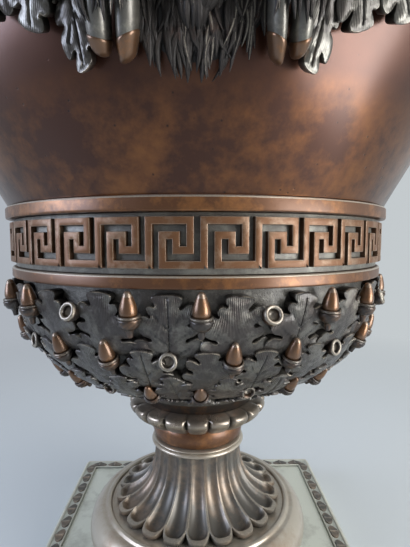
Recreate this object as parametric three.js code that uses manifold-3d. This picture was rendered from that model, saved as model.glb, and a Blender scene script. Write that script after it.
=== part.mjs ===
// Bronze krater on a square plinth, with a fluted foot, a gadrooned dish, an oak-leaf calyx,
// a Greek-key frieze and a goat pelt on each face. Millimetres, +Z up, front towards -Y.
import * as THREE from "three";
import { mergeVertices } from "three/addons/utils/BufferGeometryUtils.js";
import Module from "manifold-3d";

const wasm = await Module();
wasm.setup();

// Driving dimensions.
const BAND_R = 120;                  // front face of the Greek key
const GAP = 0.3;                     // clearance between pieces that touch
const WALL = 5;                      // casting thickness
const PLINTH_SIDE = 1.9 * BAND_R;
const PLINTH_H = 24;
const FLUTES = 22;
const GADROONS = 20;
const KEYS = 32;
const LEAVES = 24;                   // oak leaves in each row of the calyx
const ROD_R = 5;                     // threaded tie rod
const BORE_R = ROD_R + 0.6;          // hole for it in each piece it passes

// Heights of the joints, from the ground up.
const Z_RISER = PLINTH_H + GAP;
const Z_TORUS = Z_RISER + 11;
const Z_FOOT = 65;
const Z_ASTRAGAL = 107;
const Z_COLLAR = 112.5;
const Z_DISH = 126;
const Z_BOWL = 141;
const Z_FASCIA = 231;
const Z_BAND = 237.2;
const Z_UPPER_FASCIA = 264;
const Z_BODY = 271;
const Z_NECK = 402;
const Z_RIM = 422;
const Z_TOP = 446;

const FOOT_R = 59;                   // tips of the flutes
const STEM_R = 31;                   // top of the fluted foot
const TORUS_R = 62;
const TORUS_TUBE = 15.4;
const DISH_R = 49;
const BOWL_R = 114;                  // top edge of the bowl, under the leaves
const CALYX_WALL = 2;                // thin cup of the calyx, over the bowl
const BELLY_R = 161;
const BELLY_Z = 368;
const NECK_R = 106;
const MOUTH_R = 96;
const RIM_R = 136;

const SMOOTH = 32;                   // steps round a plain ring

const TAU = 2 * Math.PI;
const turn = (degrees) => degrees * Math.PI / 180;
const mix = (a, b, t) => a + (b - a) * t;

const BRONZE = { color: 0x5a3a2a, roughness: 0.38, metalness: 0.9 };
const DARK = { color: 0x3f3833, roughness: 0.45, metalness: 0.85 };
const GREY = { color: 0x77736b, roughness: 0.5, metalness: 0.8 };
const RUBBED = { color: 0x8a6146, roughness: 0.35, metalness: 0.9 };
const STEEL = { color: 0x6d6d6b, roughness: 0.4, metalness: 0.9 };

const group = new THREE.Group();

function add(name, geometry, look) {
  const mesh = new THREE.Mesh(geometry, new THREE.MeshStandardMaterial(look));
  mesh.name = name;
  group.add(mesh);
  return mesh;
}

// Turns the faces outward, from the sign of the enclosed volume.
function outward(positions, index) {
  let volume = 0;
  const p = (i) => new THREE.Vector3(...positions.slice(3 * i, 3 * i + 3));
  for (let i = 0; i < index.length; i += 3) {
    volume += p(index[i]).dot(p(index[i + 1]).cross(p(index[i + 2])));
  }
  if (volume < 0) {
    index.reverse();
  }
  const geometry = new THREE.BufferGeometry();
  geometry.setAttribute("position", new THREE.Float32BufferAttribute(positions, 3));
  geometry.setIndex(index);
  geometry.computeVertexNormals();
  return geometry;
}

// A ring-like closed surface: across goes round the axis, along follows the closed section.
function closedGrid(across, along, point) {
  const positions = [];
  const index = [];
  for (let i = 0; i < across; i += 1) {
    for (let j = 0; j < along; j += 1) {
      positions.push(...point(i, j));
      const a = i * along + j;
      const b = i * along + (j + 1) % along;
      const c = ((i + 1) % across) * along + j;
      const d = ((i + 1) % across) * along + (j + 1) % along;
      index.push(a, b, d, a, d, c);
    }
  }
  return outward(positions, index);
}

// A tube-like closed surface: rings of points with a flat cap at each end.
function cappedRings(rings) {
  const sides = rings[0].length;
  const positions = rings.flat(2);
  const index = [];
  for (let k = 0; k + 1 < rings.length; k += 1) {
    for (let i = 0; i < sides; i += 1) {
      const a = k * sides + i;
      const b = k * sides + (i + 1) % sides;
      index.push(a, b, b + sides, a, b + sides, a + sides);
    }
  }
  const last = (rings.length - 1) * sides;
  for (let i = 1; i + 1 < sides; i += 1) {
    index.push(0, i + 1, i, last, last + i, last + i + 1);
  }
  return outward(positions, index);
}

const polar = (r, angle, z) => [r * Math.sin(angle), -r * Math.cos(angle), z];

// A plain turned ring from a closed section of [radius, height] points.
function turned(section, steps = SMOOTH) {
  return closedGrid(steps, section.length, (i, j) => {
    const [r, z] = section[j];
    return polar(r, TAU * i / steps, z);
  });
}

// Points along an arc in the section plane, from one angle to another in degrees.
function arc(r, z, radiusR, radiusZ, from, to, steps) {
  return Array.from({ length: steps + 1 }, (_, k) => {
    const a = turn(mix(from, to, k / steps));
    return [r + radiusR * Math.cos(a), z + radiusZ * Math.sin(a)];
  });
}

function bezier(points, steps) {
  const curve = new THREE.CubicBezierCurve(...points.map(([x, y]) => new THREE.Vector2(x, y)));
  return curve.getPoints(steps).map((p) => [p.x, p.y]);
}

function toManifold(geometry) {
  const bare = geometry.clone();
  bare.deleteAttribute("normal");
  bare.deleteAttribute("uv");
  const merged = mergeVertices(bare, 1e-4);
  return new wasm.Manifold(new wasm.Mesh({
    numProp: 3,
    vertProperties: new Float32Array(merged.attributes.position.array),
    triVerts: new Uint32Array(merged.index.array),
  }));
}

function fromManifold(solid) {
  const mesh = solid.getMesh();
  const geometry = new THREE.BufferGeometry();
  geometry.setAttribute("position", new THREE.Float32BufferAttribute(mesh.vertProperties, 3));
  geometry.setIndex(Array.from(mesh.triVerts));
  geometry.computeVertexNormals();
  return geometry;
}

function joined(geometries) {
  return fromManifold(wasm.Manifold.union(geometries.map(toManifold)));
}

function cut(geometry, tools) {
  let solid = toManifold(geometry);
  for (const tool of tools) {
    solid = solid.subtract(toManifold(tool));
  }
  return fromManifold(solid);
}

function box(x, y, low, high) {
  return new THREE.BoxGeometry(x, y, high - low).translate(0, 0, (low + high) / 2);
}

function rod(r, low, high, sides = 16) {
  return new THREE.CylinderGeometry(r, r, high - low, sides)
    .rotateX(Math.PI / 2)
    .translate(0, 0, (low + high) / 2);
}

// The plinth: a square slab on a slightly wider foot, with a shallow groove between them.
function plinth() {
  const lowerTop = 8;
  const grooveTop = 11;
  const body = joined([
    box(PLINTH_SIDE + 6, PLINTH_SIDE + 6, 0, lowerTop),
    box(PLINTH_SIDE - 5, PLINTH_SIDE - 5, lowerTop - 1, grooveTop + 1),
    box(PLINTH_SIDE, PLINTH_SIDE, grooveTop, PLINTH_H),
  ]);
  const hollow = box(PLINTH_SIDE - 20, PLINTH_SIDE - 20, -1, PLINTH_H - WALL - 1);
  return cut(body, [hollow, rod(BORE_R, 0, PLINTH_H + 1)]);
}

// The border of the plinth: a raised edge line round a lower flat band.
function plinthBorder() {
  const outer = PLINTH_SIDE - 4;
  const width = 10.5;
  const line = 1.4;
  const low = PLINTH_H + GAP;
  return cut(box(outer, outer, low, low + 1.6), [
    box(outer - 2 * width, outer - 2 * width, 0, 2 * PLINTH_H),
    cut(box(outer - 2 * line, outer - 2 * line, low + 0.8, 2 * PLINTH_H), [
      box(outer - 2 * width + 2 * line, outer - 2 * width + 2 * line, 0, 3 * PLINTH_H),
    ]),
  ]);
}

// The low ring under the round moulding. The foot's rings close on each other, so they are
// modelled with no more than the bore for the tie rod inside.
function footRiser() {
  return turned([
    [BORE_R, Z_RISER], [72, Z_RISER], [72, Z_TORUS - 3.5], [68.5, Z_TORUS - GAP],
    [BORE_R, Z_TORUS - GAP],
  ]);
}

// The smooth round moulding, with the flat seat of the fluted foot in its top.
function footTorus() {
  const z = Z_TORUS + TORUS_TUBE;
  const seat = Z_FOOT - GAP;
  const rise = Math.asin((seat - z) / TORUS_TUBE) * 180 / Math.PI;
  return turned([
    [BORE_R, Z_TORUS],
    ...arc(TORUS_R, z, TORUS_TUBE, TORUS_TUBE, -90, rise, 5),
    [BORE_R, seat],
  ]);
}

// Outer line of the fluted foot: a trumpet from the stem down to the tips of the flutes.
const footCurve = new THREE.CubicBezierCurve(
  new THREE.Vector2(STEM_R, Z_ASTRAGAL - GAP),
  new THREE.Vector2(STEM_R - 1, 86),
  new THREE.Vector2(38, 72),
  new THREE.Vector2(FOOT_R, 68.6),
);

// Hollow flutes: each has three steps, ridge, bottom and bottom, and ends in a lobe.
function flutedFoot() {
  const perFlute = 3;
  const rows = 5;
  const depth = [0, 1, 1];
  const endAt = [0.84, 1, 1];
  const inner = [[BORE_R, Z_FOOT], [BORE_R, Z_ASTRAGAL - GAP]];
  return closedGrid(FLUTES * perFlute, rows + 1 + inner.length, (i, j) => {
    const step = i % perFlute;
    const angle = TAU * (i - perFlute / 2) / (FLUTES * perFlute);
    if (j > rows) {
      const [r, z] = inner[j - rows - 1];
      return polar(r, angle, z);
    }
    if (j === rows) {
      const p = footCurve.getPoint(endAt[step]);
      return polar(p.x, angle, Z_FOOT);
    }
    const t = j / (rows - 1);
    const p = footCurve.getPoint(t * endAt[step]);
    const rim = j === rows - 1 ? 0.1 : 1;
    const groove = mix(1.7, 3.4, t) * depth[step] * rim;
    const slope = footCurve.getTangent(Math.max(t * endAt[step], 0.01));
    return polar(p.x + slope.y * groove, angle, p.y - slope.x * groove);
  });
}

function astragal() {
  return turned([
    [BORE_R, Z_ASTRAGAL],
    ...arc(STEM_R - 0.5, (Z_ASTRAGAL + Z_COLLAR - GAP) / 2, 2.7, 2.6, -90, 90, 2),
    [BORE_R, Z_COLLAR - GAP],
  ], 24);
}

// The plain swelling ring under the dish.
function collar() {
  const middle = (Z_COLLAR + Z_DISH) / 2;
  return turned([
    [BORE_R, Z_COLLAR],
    ...arc(28.6, middle, 3.6, (Z_DISH - GAP - Z_COLLAR) / 2, -90, 90, 4),
    [BORE_R, Z_DISH - GAP],
  ], 24);
}

// The dish of swelling lobes, drawn in at the grooves between them.
function gadroonedDish() {
  const perLobe = 3;
  const outer = [
    [29, Z_DISH, 0.2], [41.5, Z_DISH + 3, 0.9], [DISH_R, Z_DISH + 10, 1],
    [DISH_R - 5, Z_BOWL - GAP, 0.3],
  ];
  const inner = [[BORE_R, Z_BOWL - GAP], [BORE_R, Z_DISH]];
  const inset = [1, 0, 0];
  return closedGrid(GADROONS * perLobe, outer.length + inner.length, (i, j) => {
    const angle = TAU * (i - perLobe / 2) / (GADROONS * perLobe);
    if (j >= outer.length) {
      const [r, z] = inner[j - outer.length];
      return polar(r, angle, z);
    }
    const [r, z, relief] = outer[j];
    return polar(r - 3.2 * relief * inset[i % perLobe], angle, z);
  });
}

// The bowl's line under the leaves: upright at its edge, flat below, then drawn down to the dish.
const bowlLine = new THREE.SplineCurve([
  [BOWL_R, Z_FASCIA - 2], [113.5, 222], [111.5, 211], [106, 197], [97, 184], [85, 173.5],
  [70, 165], [55, 157.5], [46, 149], [43, Z_BOWL],
].map(([r, z]) => new THREE.Vector2(r, z)));
const BOWL_RUN = bowlLine.getLength();

// A point of the bowl's line, so many millimetres along it from its edge, offset outward.
function bowlPoint(run, offset = 0) {
  const part = Math.min(Math.max(run, 0), BOWL_RUN) / BOWL_RUN;
  const p = bowlLine.getPointAt(part);
  const t = bowlLine.getTangentAt(part);
  return [p.x - offset * t.y, p.y + offset * t.x];
}

// Points down the bowl's line, or up it, at one offset from the leaf layer's face.
function bowlWall(offset, up = false, runs = [3, 24, 45, 66, 92, 110]) {
  const points = runs.map((run) => bowlPoint(run, offset));
  return up ? points.reverse() : points;
}

// The lower bowl, open at the top, with a flat seat and a rod hole at the bottom.
function lowerBowl() {
  const outer = -CALYX_WALL - GAP;
  const inner = outer - WALL;
  const top = Z_FASCIA - GAP;
  return turned([
    [BOWL_R + outer, top],
    ...bowlWall(outer),
    [39, Z_BOWL], [BORE_R, Z_BOWL], [BORE_R, Z_BOWL + WALL], [34, Z_BOWL + WALL],
    ...bowlWall(inner, true, [22, 44, 66, 96]),
    [BOWL_R + inner, top],
  ], LEAVES);
}

// A point on the bowl's leaf layer, offset outward from the bowl.
function onBowl(angle, run, height) {
  const [r, z] = bowlPoint(run, height);
  return polar(r, angle, z);
}

// Half outline of an oak leaf, stem to tip as [along, half width]: lobe, notch, lobe.
const OAK_LEAF = [[0, 0.2], [0.3, 1], [0.5, 0.5], [0.78, 0.86]];

// A solid oak leaf, undercut like a cast one: its underside draws in to a keel that roots it.
// place(s, t, height) puts a point of it, s across and t along, in space.
function oakLeaf(place, low, edge, vein) {
  const right = OAK_LEAF.map(([t, w]) => [w, t]);
  const left = OAK_LEAF.map(([t, w]) => [-w, t]).reverse();
  const outline = [...right, [0, 1], ...left];
  const n = outline.length;
  const middle = (n - 1) / 2;
  const split = Math.floor(middle / 2);
  const lift = (t) => edge * (0.8 + 0.2 * Math.sin(2.6 * t * Math.PI));
  const positions = [
    ...outline.map(([s, t]) => place(s, t, lift(t))),
    place(0, 0.36, vein),
    place(0, 0.68, vein),
    place(0, 0.38, low),
    place(0, 0.6, low),
  ].flat();
  const index = [];
  for (const [level, flip] of [[n, false], [n + 2, true]]) {
    const face = (i, j, k) => index.push(...(flip ? [i, k, j] : [i, j, k]));
    for (let k = 0; k < middle; k += 1) {
      const hub = level + (k < split ? 0 : 1);
      face(k, k + 1, hub);
      face(n - 2 - k, n - 1 - k, hub);
    }
    face(split, level + 1, level);
    face(n - 1 - split, level, level + 1);
    face(n - 1, 0, level);
  }
  return outward(positions, index);
}

// An acorn pointing along +Z with its foot at the origin; an empty one is a bare cup.
function acorn(cupR, length, empty, sides = 5) {
  const cupH = 0.42 * length;
  const rows = empty
    ? [[0.45, 0], [1, 0.8 * cupH], [0.7, cupH], [0.4, 0.5 * cupH]]
    : [[0.45, 0], [1, 0.8 * cupH], [0.8, 1.05 * cupH], [0.12, length]];
  return cappedRings(rows.map(([r, z]) => Array.from({ length: sides }, (_, i) => {
    const a = TAU * i / sides;
    return [cupR * r * Math.cos(a), cupR * r * Math.sin(a), z];
  })));
}

// Turns a piece that points along +Z to point from one place to another, and moves it there.
function aim(geometry, from, to) {
  const start = new THREE.Vector3(...from);
  const direction = new THREE.Vector3(...to).sub(start).normalize();
  const spin = new THREE.Quaternion().setFromUnitVectors(new THREE.Vector3(0, 0, 1), direction);
  return geometry.applyQuaternion(spin).translate(start.x, start.y, start.z);
}

// The calyx: rows of oak leaves and acorns in deep relief on a thin cup that fits the bowl.
function oakCalyx() {
  const runs = [0.8, 3, 24, 45, 66, 92, 110];
  const cup = [...bowlWall(0, false, runs), ...bowlWall(-CALYX_WALL, true, runs)];
  const pieces = [turned(cup, LEAVES)];
  const rows = [
    { stem: 31, tip: 0.8, half: 13, shift: 0.5 },
    { stem: 53, tip: 23.5, half: 12, shift: 0 },
  ];
  rows.forEach(({ stem, tip, half, shift }, row) => {
    for (let k = 0; k < LEAVES; k += 1) {
      const angle = TAU * (k + shift) / LEAVES;
      const place = (s, t, height) => {
        const run = mix(stem, tip, t);
        const [r] = bowlPoint(run, 0);
        return onBowl(angle + s * half / r, run, height);
      };
      pieces.push(oakLeaf(place, -1.8, 6 - 0.5 * row, 4.2 - 0.4 * row));
    }
  });
  // Every third cup has lost its nut.
  for (let k = 0; k < LEAVES; k += 1) {
    const angle = TAU * k / LEAVES;
    const empty = k % 3 === 1;
    const sunk = empty ? 0.4 : 2.3;
    const from = onBowl(angle, 15.8, sunk);
    const to = onBowl(angle, 1, sunk + (empty ? 6 : 3.2));
    pieces.push(aim(acorn(4.9, 15.5, empty), from, to));
  }
  return joined(pieces);
}

// A flat-faced band of the frieze.
function band(outer, low, high, ease, steps = 36) {
  return turned([
    [BOWL_R - WALL, low], [outer, low], [outer, high - ease], [outer - ease, high],
    [BOWL_R - WALL, high],
  ], steps);
}

// The Greek key: one unbroken square-cut strip, eight strokes wide and seven high in each cell.
function greekKey() {
  const stroke = TAU / KEYS / 8;
  const low = 240;
  const rise = 21.8 / 7;
  const route = [
    [0.5, 0.5], [0.5, 6.5], [6.5, 6.5], [6.5, 2.5], [4.5, 2.5], [4.5, 4.5], [2.5, 4.5], [2.5, 0.5],
  ];
  const half = 0.52;
  const total = KEYS * route.length;
  const at = (i) => {
    const k = (i + total) % total;
    const [x, y] = route[k % route.length];
    return [x + 8 * Math.floor(k / route.length), y];
  };
  const sign = (i, axis) => {
    let d = at(i + 1)[axis] - at(i)[axis];
    if (axis === 0 && Math.abs(d) > 10) {
      d = 1;
    }
    return Math.sign(d);
  };
  const start = turn(2.05) - stroke;
  return closedGrid(total, 4, (i, j) => {
    const [x, y] = at(i);
    const inX = sign(i - 1, 0);
    const inY = sign(i - 1, 1);
    const outX = sign(i, 0);
    const outY = sign(i, 1);
    const side = (j === 0 || j === 3) ? half : -half;
    const r = j < 2 ? BAND_R : BAND_R - 2.2;
    const angle = start + stroke * (x + side * -(inY + outY));
    return polar(r, angle, low + rise * (y + side * (inX + outX)));
  });
}

// Outer line of the upper body: nearly straight from the fascia, then round the belly.
const bodyLine = [
  ...bezier([[120.3, Z_BODY], [139, 306], [BELLY_R, 338], [BELLY_R, BELLY_Z]], 4),
  ...bezier([[BELLY_R, BELLY_Z], [BELLY_R, 386], [140, 398], [NECK_R + 5, Z_NECK - GAP]], 4).slice(1),
];

// The radius of the upper body at a height, and a point on it offset outward.
function bodyRadius(z) {
  for (let k = 1; k < bodyLine.length; k += 1) {
    const [r0, z0] = bodyLine[k - 1];
    const [r1, z1] = bodyLine[k];
    if (z <= z1 || k === bodyLine.length - 1) {
      return mix(r0, r1, (z - z0) / (z1 - z0));
    }
  }
  return NECK_R;
}

function onBody(angle, z, height) {
  const low = Math.min(z, Z_NECK - 4);
  const r = bodyRadius(low);
  const slope = (bodyRadius(low + 3) - bodyRadius(low - 3)) / 6;
  const length = Math.hypot(1, slope);
  return polar(r + height / length, angle, low - height * slope / length);
}

function bowlBody() {
  const inner = bodyLine.map(([r, z], k) => {
    const [ra, za] = bodyLine[Math.max(k - 1, 0)];
    const [rb, zb] = bodyLine[Math.min(k + 1, bodyLine.length - 1)];
    const length = Math.hypot(rb - ra, zb - za);
    return [r - WALL * (zb - za) / length, z + WALL * (rb - ra) / length];
  });
  inner[0] = [bodyLine[0][0] - 6, Z_BODY];
  inner[inner.length - 1] = [NECK_R - 6, Z_NECK - GAP];
  inner[inner.length - 2][1] = Math.min(inner[inner.length - 2][1], Z_NECK - 8);
  const kept = inner.filter((_, k) => k % 2 === 0);
  return turned([...bodyLine, ...kept.reverse()], 36);
}

function neck() {
  const outer = bezier(
    [[NECK_R + 3, Z_NECK], [NECK_R - 5, 408], [NECK_R - 5, 415], [NECK_R, Z_RIM - GAP]],
    3,
  );
  return turned([...outer, [MOUTH_R, Z_RIM - GAP], [MOUTH_R, Z_NECK]]);
}

// The turned-out rim: a fillet, a swelling moulding under the lip and a rounded lip.
function rim() {
  return turned([
    [MOUTH_R + 1, Z_RIM], [NECK_R + 4, Z_RIM], [NECK_R + 4, Z_RIM + 2.5],
    ...arc(NECK_R + 4, Z_TOP - 7, 24, 14, -90, -8, 3),
    ...arc(RIM_R - 3, Z_TOP - 3.5, 3.5, 3.5, -90, 90, 2),
    [MOUTH_R + 4, Z_TOP - 11],
  ]);
}

// A goat pelt laid over the shoulder: ragged at the bottom and the sides, thick in locks.
function pelt(face) {
  const across = 12;
  const down = 6;
  const top = 391;
  const shape = (u, v) => {
    const rag = Math.abs(((u * 9) % 1) - 0.5) * 2;
    const tongue = 1 - 0.75 * Math.abs(2 * u - 1) ** 2.2;
    const bottom = top - (top - 304) * tongue + 6 * rag;
    const z = mix(top, bottom, v);
    const waist = mix(25, 17, Math.min(1, v * 1.6));
    const ruffle = 1.2 * Math.sin(v * 26);
    return [(2 * u - 1) * turn(waist + ruffle * Math.abs(2 * u - 1)), z];
  };
  const height = (u, v) => {
    const edge = Math.min(1, 5 * u, 5 * (1 - u), 5 * (1 - v) + 0.2);
    const locks = 1.3 * Math.sin(u * 57 + 2 * Math.sin(v * 9)) + 0.8 * Math.sin(v * 20 + 5 * u);
    return 3 + edge * (3.2 + locks * 0.7);
  };
  const rows = down + 1;
  const columns = across + 1;
  const positions = [];
  for (const under of [false, true]) {
    for (let i = 0; i < columns; i += 1) {
      for (let j = 0; j < rows; j += 1) {
        const u = i / across;
        const v = j / down;
        const [angle, z] = shape(u, v);
        positions.push(...onBody(face + angle, z, under ? 2.6 : height(u, v)));
      }
    }
  }
  const size = columns * rows;
  const index = [];
  const quad = (a, b, c, d) => index.push(a, b, c, a, c, d);
  for (let i = 0; i < across; i += 1) {
    for (let j = 0; j < down; j += 1) {
      const a = i * rows + j;
      quad(a, a + 1, a + rows + 1, a + rows);
      quad(size + a, size + a + rows, size + a + rows + 1, size + a + 1);
    }
    const top0 = i * rows;
    const low0 = i * rows + down;
    quad(top0, top0 + rows, size + top0 + rows, size + top0);
    quad(low0 + rows, low0, size + low0, size + low0 + rows);
  }
  for (let j = 0; j < down; j += 1) {
    const far = across * rows + j;
    quad(j + 1, j, size + j, size + j + 1);
    quad(far, far + 1, size + far + 1, size + far);
  }
  return outward(positions, index);
}

// A cloven hoof hanging against the body: two tapering toes under a short leg.
function hoof(angle, side) {
  const ring = (spread, z, halfWidth, depth) => {
    const lift = mix(8.6, 14.5, (Math.max(z - 314, 0) / 58) ** 0.6);
    return Array.from({ length: 5 }, (_, k) => {
      const a = TAU * (k + 0.25) / 5;
      const shift = (spread + halfWidth * Math.cos(a)) / bodyRadius(z);
      return onBody(angle + shift, z, lift + depth * Math.sin(a));
    });
  };
  const toe = (spread, bottom) => cappedRings([
    ring(spread * 0.8, 346, 3.6, 4.2),
    ring(spread, 333, 4.2, 5),
    ring(spread * 1.05, 321, 3.8, 4.6),
    ring(spread * 0.95, bottom, 2, 2.6),
  ]);
  const leg = cappedRings([
    ring(side * 3, 372, 7, 5.4),
    ring(side, 356, 5.6, 5.6),
    ring(0, 340, 6.2, 5.4),
  ]);
  return joined([leg, toe(-4.3, side < 0 ? 315 : 313), toe(4.3, side < 0 ? 313 : 315)]);
}

// The goat mask on the shoulder: a long face from the crown to the muzzle, with eyes and ears,
// cast in one with its horns and beard.
function goatHead(face) {
  const ring = (z, out, halfWidth, depth, sides = 8) => Array.from({ length: sides }, (_, k) => {
    const a = TAU * k / sides;
    const [x, y, height] = onBody(face, z, out + depth * Math.sin(a));
    const across = halfWidth * Math.cos(a);
    return [x + across * Math.cos(face), y + across * Math.sin(face), height];
  });
  const long = cappedRings([
    ring(397, 14, 9, 6), ring(391, 17, 15, 9), ring(380, 19, 15.2, 11), ring(364, 21, 10, 10),
    ring(351, 20, 9, 8.8), ring(345, 18, 6, 5.6),
  ]);
  const parts = [long];
  for (const side of [-1, 1]) {
    const eye = new THREE.SphereGeometry(3.6, 6, 4);
    const across = side * 12;
    const [x, y, z] = onBody(face, 381, 25);
    parts.push(eye.translate(x + across * Math.cos(face), y + across * Math.sin(face), z));
    const ear = [0, 1, 2, 3].map((k) => {
      const [cx, cy, cz] = onBody(face, 386 - 3 * k - 3 * k * k / 2, 15 + 2 * k);
      const out = side * (11 + 6.5 * k);
      const size = [3.4, 5, 4.4, 1.6][k];
      return Array.from({ length: 4 }, (_, i) => {
        const a = TAU * i / 4;
        const px = out + 0.3 * side * Math.cos(a);
        const lift = size * 0.5 * Math.cos(a);
        return [
          cx + px * Math.cos(face) + lift * Math.sin(face),
          cy + px * Math.sin(face) - lift * Math.cos(face),
          cz + size * Math.sin(a),
        ];
      });
    });
    parts.push(cappedRings(ear));
  }
  parts.push(goatHorn(face, -1), goatHorn(face, 1), beard(face));
  return joined(parts);
}

// A ridged horn that sweeps out and back along the shoulder.
function goatHorn(face, side) {
  const steps = 6;
  const rings = Array.from({ length: steps + 1 }, (_, k) => {
    const t = k / steps;
    const sweep = turn(side * mix(3.4, 20, t ** 1.1));
    const z = 401.5 + 8 * Math.sin(t * Math.PI * 0.9);
    const r = mix(150, 133, Math.sin(t * Math.PI * 0.5));
    const size = mix(5.4, 1.3, t) * (k % 2 === 0 ? 1.06 : 0.94);
    return Array.from({ length: 5 }, (_, i) => {
      const a = TAU * i / 5;
      return polar(r + size * Math.cos(a), face + sweep, z + size * Math.sin(a));
    });
  });
  return cappedRings(rings);
}

// The beard: wavy locks that taper down over the pelt.
function beard(face) {
  const steps = 4;
  return cappedRings(Array.from({ length: steps + 1 }, (_, k) => {
    const t = k / steps;
    const z = mix(347, 322, t);
    const half = mix(9.5, 2, t ** 1.4);
    const sway = 2.2 * Math.sin(t * 5);
    return Array.from({ length: 8 }, (_, i) => {
      const a = TAU * i / 8;
      const lock = i % 2 === 0 ? 1 : 0.82;
      const [x, y, height] = onBody(face, z, mix(11.5, 8.2, t) + mix(3.6, 1.6, t) * lock * Math.sin(a));
      const across = sway + half * lock * Math.cos(a);
      return [x + across * Math.cos(face), y + across * Math.sin(face), height];
    });
  }));
}

// An oak branch that rises from beside a hoof to the side of the body, with leaves and acorns.
function oakBranch(face, side) {
  const from = { angle: turn(19.5), z: 352 };
  const to = { angle: turn(84), z: 383 };
  const stem = (t) => ({
    angle: face + side * mix(from.angle, to.angle, t),
    z: mix(from.z, to.z, t) + 9 * Math.sin(t * Math.PI),
  });
  const steps = 7;
  const rings = Array.from({ length: steps + 1 }, (_, k) => {
    const t = k / steps;
    const { angle, z } = stem(t);
    const size = mix(3.4, 2.2, t);
    return Array.from({ length: 4 }, (_, i) => {
      const a = TAU * i / 4;
      return onBody(angle, z + size * Math.cos(a), size + 0.7 + size * Math.sin(a));
    });
  });
  const pieces = [cappedRings(rings)];
  const leaves = [
    { t: 0.02, lean: -0.5, length: 39, half: 14 }, { t: 0.15, lean: 0.55, length: 33, half: 13 },
    { t: 0.27, lean: -0.42, length: 37, half: 14 }, { t: 0.52, lean: -0.45, length: 36, half: 13 },
    { t: 0.78, lean: -0.12, length: 34, half: 13 },
  ];
  for (const { t, lean, length, half } of leaves) {
    const root = stem(t);
    const r = bodyRadius(root.z);
    const way = [side * Math.cos(lean * Math.PI * 0.62), Math.sin(lean * Math.PI * 0.62)];
    const place = (s, along, height) => {
      const x = way[0] * along * length - way[1] * s * half;
      const y = way[1] * along * length + way[0] * s * half;
      const curl = 5 * along * along;
      return onBody(root.angle + x / r, root.z + y, height + curl);
    };
    pieces.push(oakLeaf(place, 1.2, 6.4, 4.4));
  }
  const { angle, z } = stem(0.4);
  const start = onBody(angle, z, 6);
  const end = onBody(angle + side * turn(3), z + 9, 11);
  pieces.push(aim(acorn(5, 15.5, false), start, end));
  return joined(pieces);
}

function nut(low) {
  return cut(rod(9.2, low, low + 8, 6), [rod(ROD_R + 2 * GAP, low - 1, low + 9, 12)]);
}

function washer(low) {
  return cut(rod(12, low, low + 2, 16), [rod(ROD_R + 2 * GAP, low - 1, low + 3, 12)]);
}

add("plinth", plinth(), GREY);
add("plinth_border", plinthBorder(), GREY);
add("foot_riser", footRiser(), GREY);
add("foot_torus", footTorus(), RUBBED);
add("fluted_foot", flutedFoot(), GREY);
add("astragal", astragal(), RUBBED);
add("collar", collar(), RUBBED);
add("gadrooned_dish", gadroonedDish(), DARK);
add("lower_bowl", lowerBowl(), DARK);
add("oak_calyx", oakCalyx(), DARK);
add("lower_fascia", band(119.4, Z_FASCIA, Z_BAND - GAP, 0.8), BRONZE);
add("key_band", band(BAND_R - 2.8, Z_BAND, Z_UPPER_FASCIA - GAP, 0.2, 40), GREY);
add("greek_key_fret", greekKey(), BRONZE);
add("upper_fascia", band(122, Z_UPPER_FASCIA, Z_BODY - GAP, 0.8), RUBBED);
add("bowl_body", bowlBody(), BRONZE);
add("neck", neck(), BRONZE);
add("rim", rim(), BRONZE);
for (const [name, face] of [["front", 0], ["back", Math.PI]]) {
  add(`pelt_${name}`, pelt(face), DARK);
  add(`goat_head_${name}`, goatHead(face), BRONZE);
  for (const [hand, side] of [["left", -1], ["right", 1]]) {
    add(`hoof_${name}_${hand}`, hoof(face + side * turn(12.2), side), RUBBED);
    add(`oak_branch_${name}_${hand}`, oakBranch(face, side), DARK);
  }
}
add("tie_rod", rod(ROD_R, 3, 164, 12), STEEL);
add("lower_washer", washer(PLINTH_H - WALL - 1 - GAP - 2), STEEL);
add("lower_nut", nut(PLINTH_H - WALL - 1 - 2 * GAP - 10), STEEL);
add("upper_washer", washer(Z_BOWL + WALL + GAP), STEEL);
add("upper_nut", nut(Z_BOWL + WALL + 2 * GAP + 2), STEEL);

export default group;
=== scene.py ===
"""The bronze krater's looks: cast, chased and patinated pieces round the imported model.

Lengths in the functions are millimetres, and each mesh is written in metres in the model's frame:
+Z up the axis, -Y out of the front.
"""
import math

import bpy
import numpy as np
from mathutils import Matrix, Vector
from mathutils.geometry import delaunay_2d_cdt


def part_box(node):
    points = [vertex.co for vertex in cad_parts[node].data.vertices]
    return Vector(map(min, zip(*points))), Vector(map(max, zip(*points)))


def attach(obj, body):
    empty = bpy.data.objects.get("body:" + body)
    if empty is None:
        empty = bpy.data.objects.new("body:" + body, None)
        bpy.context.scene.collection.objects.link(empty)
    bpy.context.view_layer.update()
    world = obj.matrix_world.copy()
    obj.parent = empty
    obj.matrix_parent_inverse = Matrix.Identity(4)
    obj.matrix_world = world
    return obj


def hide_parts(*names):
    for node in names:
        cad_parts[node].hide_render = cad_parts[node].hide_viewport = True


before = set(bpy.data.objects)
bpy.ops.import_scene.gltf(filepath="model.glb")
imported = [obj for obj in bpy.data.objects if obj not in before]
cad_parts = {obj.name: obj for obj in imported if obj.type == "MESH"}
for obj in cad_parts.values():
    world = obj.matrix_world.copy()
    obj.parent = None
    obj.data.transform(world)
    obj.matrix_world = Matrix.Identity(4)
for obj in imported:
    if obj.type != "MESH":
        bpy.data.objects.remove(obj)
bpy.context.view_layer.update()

bl_info = {
    "name": "Bronze krater",
    "version": (1, 0, 0),
    "blender": (4, 5, 0),
    "location": "3D View > Sidebar > Krater",
    "description": "Builds the cast and chased pieces of a patinated bronze krater",
    "category": "Add Mesh",
}

MM = 0.001
TAU = 2 * math.pi
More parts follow.
